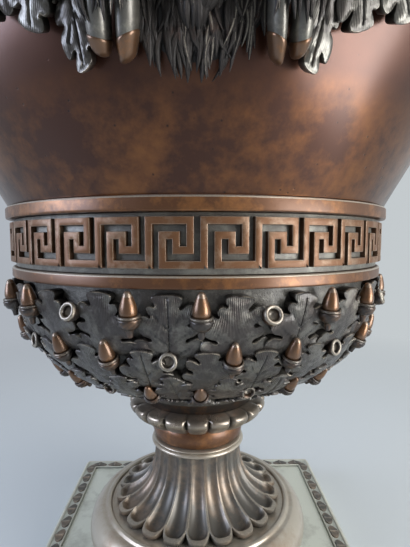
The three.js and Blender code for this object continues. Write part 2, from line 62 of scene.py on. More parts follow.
# Radii and heights in millimetres: the tie rod's bore, the ground behind the key, the inside of the
# frieze, the pelts' upper edge, and the cup that the acorns' lines are drawn for.
BORE = 5.6
KEY_GROUND = 117.2
FRIEZE_INSIDE = 109.0
PELT_TOP = 391
DRAWN_CUP = 4.9
# The calyx stands turned by this little against the front.
CALYX_TURN = math.radians(0.8)
# The object's two faces, and the left and right of each: its half turn, its name and its side.
FACES = ("front", "back")
CORNERS = [(turn, face, hand, side) for turn, face in enumerate(FACES)
           for hand, side in (("left", -1), ("right", 1))]


def low(node):
    """The height of a node's underside in millimetres."""
    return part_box(node)[0].z / MM


def high(node):
    """The height of a node's top in millimetres."""
    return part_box(node)[1].z / MM


def reach(node):
    """Half the width of a node in millimetres."""
    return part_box(node)[1].x / MM


def span(node):
    """The heights of a node's underside and top in millimetres."""
    return low(node), high(node)


def linear(code):
    """A linear colour from an sRGB hex value."""
    parts = [int(code[i:i + 2], 16) / 255 for i in (1, 3, 5)]
    return (*(c / 12.92 if c < 0.04045 else ((c + 0.055) / 1.055) ** 2.4 for c in parts), 1.0)


def colour(name, code, text):
    return bpy.props.FloatVectorProperty(
        name=name, description=text, subtype="COLOR", size=4, min=0, max=1, default=linear(code))


def length(name, size, text):
    return bpy.props.FloatProperty(
        name=name, description=text, default=size * MM, min=0, unit="LENGTH", precision=5)


def number(name, value, least, text):
    return bpy.props.IntProperty(name=name, description=text, default=value, min=least)


class KraterSizes(bpy.types.PropertyGroup):
    """Sizes that a user would change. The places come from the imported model."""
    flutes: number("Flutes", 22, 8, "Hollow flutes round the foot")
    gadroons: number("Gadroons", 20, 8, "Swelling lobes round the dish")
    keys: number("Keys", 32, 8, "Cells of the Greek key")
    leaves: number("Leaves", 24, 6, "Oak leaves in each row of the calyx")
    border_tips: number("Border tips", 14, 4, "Leaf tips along each side of the plinth")
    key_turn: bpy.props.FloatProperty(
        name="Key turn", description="Where the first cell of the key starts",
        default=math.radians(2.05 - 360 / 32 / 8), subtype="ANGLE")
    key_relief: length("Key relief", 2.8, "How far the key stands out from its ground")
    flute_depth: length("Flute depth", 3.2, "Depth of a flute near its lobe")
    leaf_rim: length("Leaf rim", 0.55, "Height of the rolled rim of a leaf")
    acorn_radius: length("Acorn cup radius", DRAWN_CUP, "Radius of a large acorn's cup")


class KraterColours(bpy.types.PropertyGroup):
    """Patina and stage colours."""
    brown: colour("Brown patina", "#432516", "Plain patina of the body")
    orange: colour("Rubbed patina", "#8A572A", "Where the brown is rubbed through")
    dark: colour("Dark patina", "#403A36", "Patina of the chased ornament")
    grey: colour("Grey patina", "#8A887E", "Dull patina of the foot and the ground")
    nut: colour("Nut patina", "#7E5939", "Smooth rubbed acorns")
    # Pale of worn raised edges, also used for painted highlights on lit rims, nut tops and hair
    # ridges.
    pale: colour("Bare edge and painted highlight", "#B0A797", "Worn edges with the metal showing")
    steel: colour("Steel", "#7C7D7E", "Rod, nuts and washers")
    ash: colour("Plinth patina", "#CFD2C6", "Patina of the plinth")
    room: colour("Room", "#7C7E84", "What stands before the object")
    shade: colour("Shaded floor", "#AEB4BC", "Floor and backdrop on the left")
    floor: colour("Floor", "#C4CACD", "Floor and background")


def sizes():
    return bpy.context.scene.krater_sizes


def colours():
    return bpy.context.scene.krater_colours


# Lines and surfaces

def smooth_line(points, steps):
    """A curve through the given points, with so many steps between each two."""
    points = np.array(points, float)
    ends = np.vstack([2 * points[0] - points[1], points, 2 * points[-1] - points[-2]])
    out = []
    for k in range(len(points) - 1):
        a, b, c, d = ends[k:k + 4]
        for t in np.arange(steps) / steps:
            out.append(0.5 * (2 * b + (c - a) * t + (2 * a - 5 * b + 4 * c - d) * t ** 2
                              + (3 * b - a - 3 * c + d) * t ** 3))
    out.append(points[-1])
    return np.array(out)


def bezier(points, steps):
    a, b, c, d = np.array(points, float)
    t = np.linspace(0, 1, steps + 1)[:, None]
    return a * (1 - t) ** 3 + 3 * b * t * (1 - t) ** 2 + 3 * c * t ** 2 * (1 - t) + d * t ** 3


def arc(r, z, across, up, start, end, steps):
    a = np.radians(np.linspace(start, end, steps + 1))
    return np.column_stack([r + across * np.cos(a), z + up * np.sin(a)])


def eased(section, radius, steps=3):
    """A closed section with its corners rounded, apart from those with no room for it."""
    section = np.array(section, float)
    out = []
    for k, here in enumerate(section):
        before = section[k - 1] - here
        after = section[(k + 1) % len(section)] - here
        one, two = np.hypot(*before), np.hypot(*after)
        size = min(radius, 0.45 * one, 0.45 * two)
        if size < 0.05:
            out.append(here)
            continue
        a, b = here + before / one * size, here + after / two * size
        for t in np.linspace(0, 1, steps + 1):
            out.append(a * (1 - t) ** 2 + 2 * here * t * (1 - t) + b * t ** 2)
    return np.array(out)


def runs(line):
    """How far along a line each of its points lies."""
    return np.concatenate([[0], np.cumsum(np.hypot(*np.diff(line, axis=0).T))])


def normals(line):
    """Unit normals to the right of a line's way, which is outward where it climbs."""
    tangent = np.gradient(line, axis=0)
    tangent /= np.hypot(*tangent.T)[:, None]
    return np.column_stack([tangent[:, 1], -tangent[:, 0]])


def sample(at, run, table):
    """The columns of a table read at any runs."""
    return [np.interp(at, run, column) for column in table.T]


def polar(r, angle, z):
    return np.stack(np.broadcast_arrays(r * np.sin(angle), -r * np.cos(angle), z), -1)


def grid_quads(across, along, round_across=True, round_along=True):
    """Quads of a grid whose points run along first, closed either way or open."""
    i = np.arange(across if round_across else across - 1)
    j = np.arange(along if round_along else along - 1)
    i, j = [a.ravel() for a in np.meshgrid(i, j, indexing="ij")]
    i1, j1 = (i + 1) % across, (j + 1) % along
    return np.stack([i * along + j, i1 * along + j, i1 * along + j1, i * along + j1], -1)


def mesh_from(name, points, quads, extra=(), marks=None, uv=None):
    """A mesh in metres from points in millimetres, quads or triangles, and a few other faces."""
    mesh = bpy.data.meshes.new(name)
    points = np.asarray(points, float).reshape(-1, 3)
    quads = np.asarray(quads, int)
    extra = [list(f) for f in extra]
    loops = np.concatenate([quads.ravel(), *[np.array(f, int) for f in extra]])
    totals = np.full(len(quads), quads.shape[1])
    totals = np.concatenate([totals, [len(f) for f in extra]]).astype(int)
    mesh.vertices.add(len(points))
    mesh.vertices.foreach_set("co", (points * MM).ravel())
    mesh.loops.add(len(loops))
    mesh.loops.foreach_set("vertex_index", loops)
    mesh.polygons.add(len(totals))
    mesh.polygons.foreach_set("loop_start", np.concatenate([[0], np.cumsum(totals)[:-1]]))
    mesh.update(calc_edges=True)
    if marks is not None:
        mark = mesh.attributes.new("relief", "FLOAT", "POINT")
        mark.data.foreach_set("value", np.asarray(marks, float).ravel())
    if uv is not None:
        layer = mesh.uv_layers.new(name="chasing")
        layer.data.foreach_set("uv", np.asarray(uv, float).reshape(-1, 2)[loops].ravel())
    mesh.validate()
    return mesh


def face_out(mesh):
    """Turns a closed mesh's faces outward, by the sign of the volume it encloses."""
    mesh.calc_loop_triangles()
    co = np.empty(3 * len(mesh.vertices))
    mesh.vertices.foreach_get("co", co)
    tri = np.empty(3 * len(mesh.loop_triangles), int)
    mesh.loop_triangles.foreach_get("vertices", tri)
    a, b, c = co.reshape(-1, 3)[tri.reshape(-1, 3)].transpose(1, 0, 2)
    if np.einsum("ij,ij->", a, np.cross(b, c)) < 0:
        mesh.flip_normals()
    return mesh


def link(name, data):
    """A new object with its data, in the scene."""
    thing = bpy.data.objects.new(name, data)
    bpy.context.scene.collection.objects.link(thing)
    return thing


def put(name, mesh, look, slot, nodes=(), crease=38):
    """A finished piece: smooth but for its creases, with its finish, on the body it rides."""
    piece = link(name, mesh)
    mesh.name = name
    mesh.polygons.foreach_set("use_smooth", np.ones(len(mesh.polygons), bool))
    mesh.set_sharp_from_angle(angle=math.radians(crease))
    mesh.materials.clear()
    mesh.materials.append(FINISHES[look])
    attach(piece, "root")
    if nodes:
        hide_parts(*nodes)
    return piece


def turned(section, steps, marks=None, wave=None):
    """A closed section of [radius, height] turned round the axis."""
    section = np.asarray(section, float)
    angle = TAU * np.arange(steps) / steps
    r = np.broadcast_to(section[None, :, 0], (steps, len(section)))
    if wave is not None:
        r = r + wave(angle[:, None], section[None, :, 0], section[None, :, 1])
    points = polar(r, angle[:, None], section[None, :, 1])
    if marks is not None:
        marks = np.broadcast_to(np.asarray(marks, float)[None], (steps, len(section)))
    return face_out(mesh_from("turned", points, grid_quads(steps, len(section)), marks=marks))


class Wall:
    """A turned wall that ornament lies on, measured along its line from any height."""

    def __init__(self, line):
        self.line = np.array(line, float)
        self.run = runs(self.line)
        self.out = normals(self.line)

    def place(self, angle, z, x, y, height):
        """Points x across and y up the wall from a place on it, height out from it."""
        order = np.argsort(self.line[:, 1])
        run = np.interp(z, self.line[order, 1], self.run[order]) + y
        r, level = sample(run, self.run, self.line)
        out_r, out_z = sample(run, self.run, self.out)
        return polar(r + height * out_r, angle + x / r, level + height * out_z)


def bowl_line(offset=0.0, first=0.0, last=111.0):
    """The bowl under the leaves, from its bottom up: upright at its edge, flat below, then drawn
    down to the dish. first and last are runs from its top edge in millimetres."""
    top, seat = low("lower_fascia") - 2, low("lower_bowl")
    line = smooth_line([
        [114, top], [113.5, 222], [111.5, 211], [106, 197], [97, 184], [85, 173.5], [70, 165],
        [55, 157.5], [46, 149], [43, seat]], 12)
    line = np.column_stack(sample(np.linspace(last, first, 71), runs(line), line))
    return line + offset * normals(line)


def body_line():
    """The upper body: nearly straight from the fascia, then round the belly to the neck."""
    bottom, top = span("bowl_body")
    belly, widest, neck = 161.0, 368.0, 111.0
    lower = bezier([[120.3, bottom], [139, 306], [belly, 338], [belly, widest]], 60)
    upper = bezier([[belly, widest], [belly, 386], [140, 398], [neck, top]], 40)
    return np.vstack([lower, upper[1:]])


# Repeats round the axis and along the border, as node trees

def add_node(tree, kind, links=None, **settings):
    """Adds a node with its settings, and links its inputs or gives them values."""
    node = tree.nodes.new(kind)
    for key, value in settings.items():
        setattr(node, key, value)
    for key, value in (links or {}).items():
        socket = node.inputs[key]
        if isinstance(value, bpy.types.NodeSocket):
            tree.links.new(value, socket)
        else:
            socket.default_value = value
    return node


def new_tree(name, inputs):
    """A geometry tree with named inputs, and the outputs of its input node."""
    tree = bpy.data.node_groups.new(name, "GeometryNodeTree")
    tree.is_modifier = True
    for label, kind, value in inputs:
        socket = tree.interface.new_socket(label, in_out="INPUT", socket_type=kind)
        if value is not None:
            socket.default_value = value
    tree.interface.new_socket("Geometry", in_out="OUTPUT", socket_type="NodeSocketGeometry")
    return tree, add_node(tree, "NodeGroupInput").outputs


def calc(tree, operation, *values):
    """The result of a math node."""
    node = add_node(tree, "ShaderNodeMath", dict(enumerate(values)), operation=operation)
    return node.outputs[0]


def ramp(tree, value, start, end, first=0.0, last=1.0, **settings):
    """A value carried from one range to another."""
    return add_node(tree, "ShaderNodeMapRange", {
        "Value": value, "From Min": start, "From Max": end, "To Min": first, "To Max": last},
        **settings).outputs[0]


def blend(tree, factor, a, b):
    """A colour between two others."""
    return add_node(tree, "ShaderNodeMix", {"Factor": factor, "A": a, "B": b},
                    data_type="RGBA").outputs["Result"]


def close_tree(tree, given, points, turn, chosen=True):
    """Ends a tree: its motif stands on the points as real geometry with its material."""
    motif = add_node(tree, "GeometryNodeObjectInfo", {"Object": given["Motif"]})
    placed = add_node(tree, "GeometryNodeInstanceOnPoints", {
        "Points": points, "Selection": chosen, "Instance": motif.outputs["Geometry"],
        "Rotation": turn})
    real = add_node(tree, "GeometryNodeRealizeInstances", {"Geometry": placed.outputs[0]})
    weld = add_node(tree, "GeometryNodeMergeByDistance", {
        "Geometry": real.outputs[0], "Distance": given["Weld"]})
    dressed = add_node(tree, "GeometryNodeSetMaterial", {
        "Geometry": weld.outputs[0], "Material": given["Material"]})
    add_node(tree, "NodeGroupOutput", {"Geometry": dressed.outputs[0]})
    return tree


def ring_tree():
    """Repeats a motif round the axis, or only every so many of its places."""
    tree, given = new_tree("Repeat round the axis", [
        ("Motif", "NodeSocketObject", None), ("Count", "NodeSocketInt", 8),
        ("First", "NodeSocketFloat", 0.0), ("Every", "NodeSocketInt", 1),
        ("Offset", "NodeSocketInt", 0), ("Skip these", "NodeSocketBool", False),
        ("Weld", "NodeSocketFloat", 0.0), ("Material", "NodeSocketMaterial", None)])
    index = add_node(tree, "GeometryNodeInputIndex").outputs[0]
    step = calc(tree, "DIVIDE", TAU, given["Count"])
    angle = calc(tree, "MULTIPLY_ADD", index, step, given["First"])
    turn = add_node(tree, "ShaderNodeCombineXYZ", {"Z": angle})
    hit = add_node(tree, "FunctionNodeCompare", {
        "A": calc(tree, "MODULO", index, given["Every"]), "B": given["Offset"]},
        operation="EQUAL")
    chosen = add_node(tree, "FunctionNodeBooleanMath", {
        0: hit.outputs[0], 1: given["Skip these"]}, operation="XOR")
    points = add_node(tree, "GeometryNodePoints", {"Count": given["Count"]})
    return close_tree(tree, given, points.outputs[0], turn.outputs[0], chosen.outputs[0])


def square_tree():
    """Sets a motif at even steps along the sides of a square, pointing outward."""
    tree, given = new_tree("Repeat along a square", [
        ("Motif", "NodeSocketObject", None), ("Side", "NodeSocketFloat", 0.2),
        ("Per side", "NodeSocketInt", 10), ("Height", "NodeSocketFloat", 0.0),
        ("Weld", "NodeSocketFloat", 0.0), ("Material", "NodeSocketMaterial", None)])
    pitch = calc(tree, "DIVIDE", given["Side"], given["Per side"])
    half = calc(tree, "MULTIPLY", given["Side"], 0.5)
    index = add_node(tree, "GeometryNodeInputIndex").outputs[0]
    side = calc(tree, "FLOOR", calc(tree, "DIVIDE", index, given["Per side"]))
    place = calc(tree, "ADD", calc(tree, "MODULO", index, given["Per side"]), 0.5)
    spot = add_node(tree, "ShaderNodeCombineXYZ", {
        "X": calc(tree, "SUBTRACT", calc(tree, "MULTIPLY", place, pitch), half),
        "Y": calc(tree, "MULTIPLY", half, -1.0), "Z": given["Height"]})
    turn = add_node(tree, "ShaderNodeCombineXYZ", {"Z": calc(tree, "MULTIPLY", side, TAU / 4)})
    swung = add_node(tree, "ShaderNodeVectorRotate", {
        "Vector": spot.outputs[0], "Rotation": turn.outputs[0]}, rotation_type="EULER_XYZ")
    points = add_node(tree, "GeometryNodePoints", {
        "Count": calc(tree, "MULTIPLY", given["Per side"], 4.0), "Position": swung.outputs[0]})
    return close_tree(tree, given, points.outputs[0], turn.outputs[0])


def grown(tree, motif, look, **values):
    """The plain mesh that a tree makes from a motif mesh."""
    source = link("motif", motif)
    carrier = link("carrier", bpy.data.meshes.new("carrier"))
    modifier = carrier.modifiers.new("Repeat", "NODES")
    modifier.node_group = tree
    values = {"Motif": source, "Material": FINISHES[look], **values}
    for item in tree.interface.items_tree:
        key = item.name.replace(" ", "_")
        if item.in_out == "INPUT" and key in values:
            modifier[item.identifier] = values[key]
    bpy.context.view_layer.update()
    shown = carrier.evaluated_get(bpy.context.evaluated_depsgraph_get())
    mesh = bpy.data.meshes.new_from_object(shown)
    carrier.modifiers.remove(modifier)
    bpy.data.objects.remove(carrier)
    bpy.data.objects.remove(source)
    return mesh


def repeat(name, node, motif, count, look, slot, weld=0.02, first=0.0, crease=38):
    """The piece for a node that is one motif repeated round the axis."""
    mesh = grown(ring_tree(), motif(count), look, Count=count, Every=1, First=first,
                 Weld=weld * MM)
    put(name, face_out(mesh), look, slot, [node], crease)


# Finishes

def new_material(name):
    """A material with an empty node tree, and that tree."""
    material = bpy.data.materials.new(name)
    material.use_nodes = True
    material.node_tree.nodes.clear()
    return material, material.node_tree


def patina(name, base, rubbed, deep, roughness, metal, coat, mottle, rub, grain,
           hatch=0.0, spots=0.0, soft=0.09, clear=None):
    """Patinated cast bronze. base, rubbed and deep are its three colours, mottle the width of its
    clouds in millimetres, rub how much of it is rubbed and soft how gently. deep goes into the
    marked hollows, sides and undersides, partly as patina and partly as painted shade, and the pale
    colour onto the marked raised edges, partly as wear and partly as painted highlight. grain,
    hatch and spots are the depths of its sand skin, chasing and pits in millimetres, and clear the
    heights between which the rubbed clouds end; on the body the plain brown above them is partly
    painted shade under the pelts."""
    material, tree = new_material(name)
    place = add_node(tree, "ShaderNodeTexCoord").outputs["Object"]
    relief = add_node(tree, "ShaderNodeAttribute", attribute_name="relief").outputs["Fac"]

    def noise(scale, detail, rough):
        return add_node(tree, "ShaderNodeTexNoise", {
            "Vector": place, "Scale": scale, "Detail": detail, "Roughness": rough}).outputs[0]

    # Clouds of wax and handling, with stains a sixth as wide in them, and a sand skin of 0.9 mm.
    cloud = noise(1 / (mottle * MM), 5.0, 0.62)
    stain = noise(6 / (mottle * MM), 4.0, 0.7)
    fine = noise(1 / (0.9 * MM), 3.0, 0.6)
    both = calc(tree, "MULTIPLY_ADD", stain, 0.35, cloud)
    clouds = ramp(tree, both, 0.97 - soft - rub, 0.97 + soft - rub)
    # The rubbed clouds end between these heights, so the body's top stays plain dark brown, partly
    # as painted shade under the pelts.
    if clear:
        level = add_node(tree, "ShaderNodeSeparateXYZ", {0: place}).outputs["Z"]
        below = ramp(tree, level, clear[0] * MM, clear[1] * MM, 1.0, 0.0)
        clouds = calc(tree, "MULTIPLY", clouds, below)
    # The marked hollows, sides and undersides go dark, partly as patina and partly as painted
    # shade, and the marked raised and upper edges go pale, partly as wear and partly as painted
    # highlight.
    hollow = ramp(tree, relief, -1.0, 0.0)
    edge = ramp(tree, calc(tree, "MULTIPLY_ADD", fine, 0.5, relief), 0.65, 1.35)
    skin = blend(tree, clouds, tuple(base), tuple(rubbed))
    skin = blend(tree, hollow, deep, skin)
    skin = blend(tree, edge, skin, tuple(colours().pale))
    dull = ramp(tree, both, 0.3, 1.0, roughness + 0.1, roughness - 0.08)
    height = calc(tree, "MULTIPLY", fine, grain)
    if spots:
        # Casting pits 7 mm apart.
        pits = add_node(tree, "ShaderNodeTexVoronoi", {"Vector": place, "Scale": 1 / (7 * MM)})
        pit = ramp(tree, pits.outputs["Distance"], 0.04, 0.09, -spots, 0.0)
        skin = blend(tree, calc(tree, "MULTIPLY", pit, -0.7 / spots), skin, deep)
        height = calc(tree, "ADD", height, pit)
    if hatch:
        flat = add_node(tree, "ShaderNodeUVMap", uv_map="chasing")
        lines = add_node(tree, "ShaderNodeTexWave", {
            "Vector": flat.outputs[0], "Scale": 9.0, "Distortion": 2.5, "Detail": 1.0,
            "Detail Scale": 0.6})
        height = calc(tree, "MULTIPLY_ADD", lines.outputs["Fac"], hatch, height)
    bump = add_node(tree, "ShaderNodeBump", {"Height": height, "Distance": MM, "Strength": 1.0})
    shader = add_node(tree, "ShaderNodeBsdfPrincipled", {
        "Base Color": skin, "Roughness": dull, "Metallic": metal, "Coat Weight": coat,
        "Coat Roughness": 0.24, "Normal": bump.outputs[0]})
    add_node(tree, "ShaderNodeOutputMaterial", {"Surface": shader.outputs[0]})
    return material


FINISHES = {}


def mix_colour(a, b, t):
    return tuple(x + (y - x) * t for x, y in zip(a, b))


def make_finishes():
    """The finishes, one for each kind of surface. Each row has the finish's name, its plain and its
    rubbed colour, roughness, metal, coat, width of its clouds in millimetres, how much of it is
    rubbed, depth of its sand skin in millimetres, and what else it has."""
    c = colours()
    # black is the deep colour of the marked hollows, sides and undersides: partly patina, partly
    # painted shade.
    black = linear("#0B0908")
    mix = mix_colour
    rows = {
        # Waxed brown over worn orange-brown: it gives soft pale reflections in a deep brown.
        "body": ("Waxed brown patina on bronze", c.brown, c.orange, 0.33, 0.85, 0.55, 40, 0.19,
                 0.03, {"spots": 0.08, "soft": 0.17, "clear": (298, 316)}),
        # Handled mouldings: the brown is thinner, so they shine warmer than the body.
        "fascia": ("Rubbed brown patina on bronze", mix(c.brown, c.nut, 0.35),
                   mix(c.nut, c.orange, 0.5), 0.4, 0.6, 0.3, 16, 0.22, 0.05),
        # The key's flat faces: satin brown that turns grey where hands reach it.
        "fret": ("Brown patina on the chased key", mix(c.brown, c.nut, 0.55),
                 mix(c.nut, c.grey, 0.3), 0.5, 0.6, 0.15, 9, 0.22, 0.06),
        # Matted ground: it stays dull and greyer than what stands on it.
        "ground": ("Dull ground of the key", mix(c.dark, c.grey, 0.35),
                   mix(c.dark, c.grey, 0.7), 0.5, 0.5, 0.15, 8, 0.25, 0.14),
        # Chased dark bronze: fine tool lines break its sheen.
        "leaf": ("Chased dark patina on bronze", c.dark, mix(c.dark, c.grey, 0.4),
                 0.36, 0.7, 0.5, 9, 0.25, 0.08, {"hatch": 0.13}),
        # Smoother leaves on the body: the same dark metal with a longer gleam.
        "sprig": ("Smooth dark patina on bronze", mix(c.dark, c.grey, 0.1),
                  mix(c.dark, c.grey, 0.6), 0.34, 0.7, 0.5, 14, 0.25, 0.06, {"hatch": 0.03}),
        # Punched ground: its small dents scatter the light, so it looks flat and dark.
        "stipple": ("Punched ground behind the leaves", mix(c.dark, c.grey, 0.3),
                    mix(c.dark, c.grey, 0.7), 0.45, 0.5, 0.3, 3, 0.22, 0.35),
        # Cast dark bronze: a soft sheen with a trace of brown.
        "dark": ("Dark patina on bronze", c.dark, mix(c.dark, c.nut, 0.5),
                 0.38, 0.7, 0.4, 10, 0.22, 0.06),
        # Hair is chased deep; the locks' flanks and edges and the sheet under them are marked near
        # black as painted shade, and some ridges pale as painted highlights.
        "hair": ("Dark patina on chased hair", mix(black, c.dark, 0.7),
                 mix(c.dark, c.brown, 0.7), 0.42, 0.6, 0.15, 9, 0.15, 0.05, {"hatch": 0.15}),
        # Hooves and horns are touched: grey metal shows through, smooth and brighter.
        "hoof": ("Rubbed grey patina on the hooves", mix(c.dark, c.grey, 0.35),
                 mix(c.dark, c.grey, 0.8), 0.38, 0.7, 0.4, 16, 0.22, 0.04),
        # Round nuts are polished by handling: warm, with small sharp lights.
        "nut": ("Rubbed bronze of the nuts", mix(c.dark, c.nut, 0.55),
                mix(c.nut, c.orange, 0.3), 0.32, 0.7, 0.5, 5, 0.2, 0.05),
        # Thin dusty patina: broad soft lights on a brown-grey ground.
        "grey": ("Dull brown-grey patina on the flutes", mix(c.grey, c.dark, 0.75),
                 mix(c.grey, c.nut, 0.5), 0.42, 0.6, 0.25, 26, 0.25, 0.05),
        # The plinth's patina is chalky: pale, nearly matt, with wide faint clouds.
        "plinth": ("Pale dull patina of the plinth", c.ash, mix(c.ash, c.grey, 0.5),
                   0.45, 0.4, 0.2, 34, 0.18, 0.06),
        # The border is as chalky, and a little greyer where dirt stays in it.
        "border": ("Dull patina of the plinth's border", mix(c.ash, c.grey, 0.2),
                   mix(c.ash, c.grey, 0.6), 0.45, 0.4, 0.2, 12, 0.2, 0.06),
        # The round moulding is smooth and worn pale: it mirrors the floor softly.
        "torus": ("Grey-brown patina on bronze", mix(mix(c.ash, c.pale, 0.6), c.orange, 0.2),
                  mix(c.nut, c.pale, 0.3), 0.34, 0.6, 0.4, 30, 0.15, 0.02, {"soft": 0.2}),
        # The lobes' crowns are rubbed to pale metal, and their grooves are marked near black,
        # partly as patina and partly as painted shade.
        "dish": ("Brown patina rubbed pale on the lobes", mix(c.grey, c.nut, 0.3),
                 mix(c.pale, c.nut, 0.3), 0.3, 0.75, 0.5, 14, 0.25, 0.03),
        # Plain turned steel: bare, grey and evenly bright.
        "steel": ("Plain steel", c.steel, mix(c.steel, c.dark, 0.3),
                  0.4, 1.0, 0.0, 5, 0.2, 0.02),
    }
    for key, (name, base, rubbed, *values) in rows.items():
        more = values.pop() if isinstance(values[-1], dict) else {}
        FINISHES[key] = patina(name, base, rubbed, black, *values, **more)


# Plinth and foot

def square_ring(half, corner, per_corner=6, per_side=12):
    """Points round a square with rounded corners, from the middle of the front, or a circle where
    the corner is as wide as half the square."""
    out = []
    for k in range(4):
        turn = k * TAU / 4
        side = np.linspace(-1, 1, per_side + 2)[1:-1] * (half - corner)
        local = [(x, -half) for x in side]
        for a in np.linspace(-90, 0, per_corner):
            out_x = half - corner + corner * math.cos(math.radians(a))
            out_y = -(half - corner) + corner * math.sin(math.radians(a))
            local.append((out_x, out_y))
        for x, y in local:
            out.append((x * math.cos(turn) - y * math.sin(turn),
                        x * math.sin(turn) + y * math.cos(turn)))
    return np.array(out)


def square_sweep(section, marks=None):
    """A closed section of [half side, height, corner] carried round a square."""
    rings = [square_ring(half, min(corner, half)) for half, _, corner in section]
    points = np.array([
        np.column_stack([ring, np.full(len(ring), row[1])]) for ring, row in zip(rings, section)])
    points = points.transpose(1, 0, 2)
    if marks is not None:
        marks = np.broadcast_to(np.asarray(marks)[None], points.shape[:2])
    quads = grid_quads(*points.shape[:2])
    return face_out(mesh_from("square", points, quads, marks=marks))


class KRATER_OT_plinth(bpy.types.Operator):
    """The square plinth and its border of leaf tips"""
    bl_idname = "krater.plinth"
    bl_label = "Plinth"

    def execute(self, context):
        top, foot = high("plinth"), reach("plinth")
        side = foot - 3
        shape = eased([
            [foot, 0], [foot, 8], [side - 2.5, 8.6], [side - 2.5, 10.6], [side, 11.2], [side, top],
            [70, top], [BORE, top], [BORE, top - 6], [70, top - 6], [side - 10, top - 6],
            [side - 10, 0]], 1.1)
        section = [[r, z, 2.0 if r > 20 else r] for r, z in shape]
        marks = [0.55 if r > side - 1 and 1 < z else 0.0 for r, z in shape]
        put("plinth_slab", square_sweep(section, marks), "plinth", "grey_patina", ["plinth"])
        base, outer = low("plinth_border"), reach("plinth_border")
        band = eased([
            [outer, base], [outer, base + 1.5], [outer - 1.4, base + 1.5],
            [outer - 1.8, base + 0.8], [outer - 9, base + 0.8], [outer - 9.3, base + 1.4],
            [outer - 10.4, base + 1.4], [outer - 10.5, base]], 0.5)
        section = [[r, z, 1.4] for r, z in band]
        marks = [0.75 if z > base + 1.2 else -0.2 for r, z in band]
        put("plinth_border_lines", square_sweep(section, marks), "border", "grey_patina",
            ["plinth_border"])
        tips = grown(square_tree(), self.tip(), "grey", Side=2 * (outer - 5.4) * MM,
                     Per_side=sizes().border_tips, Height=(base + 0.8) * MM)
        put("plinth_leaf_tips", tips, "grey", "grey_patina")
        return {"FINISHED"}

    def tip(self):
        """A pointed leaf tip in low relief, its stem inward and its point outward."""
        across, along = 13, 12
        s = np.linspace(-1, 1, across)[:, None]
        t = np.linspace(0, 1, along)[None]
        half = 6.9 * np.sin(np.pi * np.clip(0.18 + 0.82 * t, 0, 1)) ** 0.8 + 0.15
        x = s * half
        y = 3.4 - 7.0 * t + 0 * s
        ridge = 0.5 * np.exp(-(x / 0.7) ** 2)
        rim = 0.45 * np.exp(-((np.abs(s) - 0.86) / 0.12) ** 2)
        z = 0.75 * (1 - s ** 6) * (1 - 0.5 * t) + ridge + rim * (1 - t)
        top = np.stack([x, y, z], -1)
        under = np.stack([x, y, np.full_like(z, -0.3)], -1)
        points = np.concatenate([top, under[::-1]], 0)
        marks = np.concatenate([0.9 * (ridge + rim) / 0.5 - 0.2, 0 * z[::-1]], 0)
        rows = 2 * across
        quads = grid_quads(rows, along, True, False)
        first = [i * along for i in range(rows)]
        last = [i * along + along - 1 for i in range(rows)][::-1]
        return face_out(mesh_from("tip", points, quads, [first, last], marks))


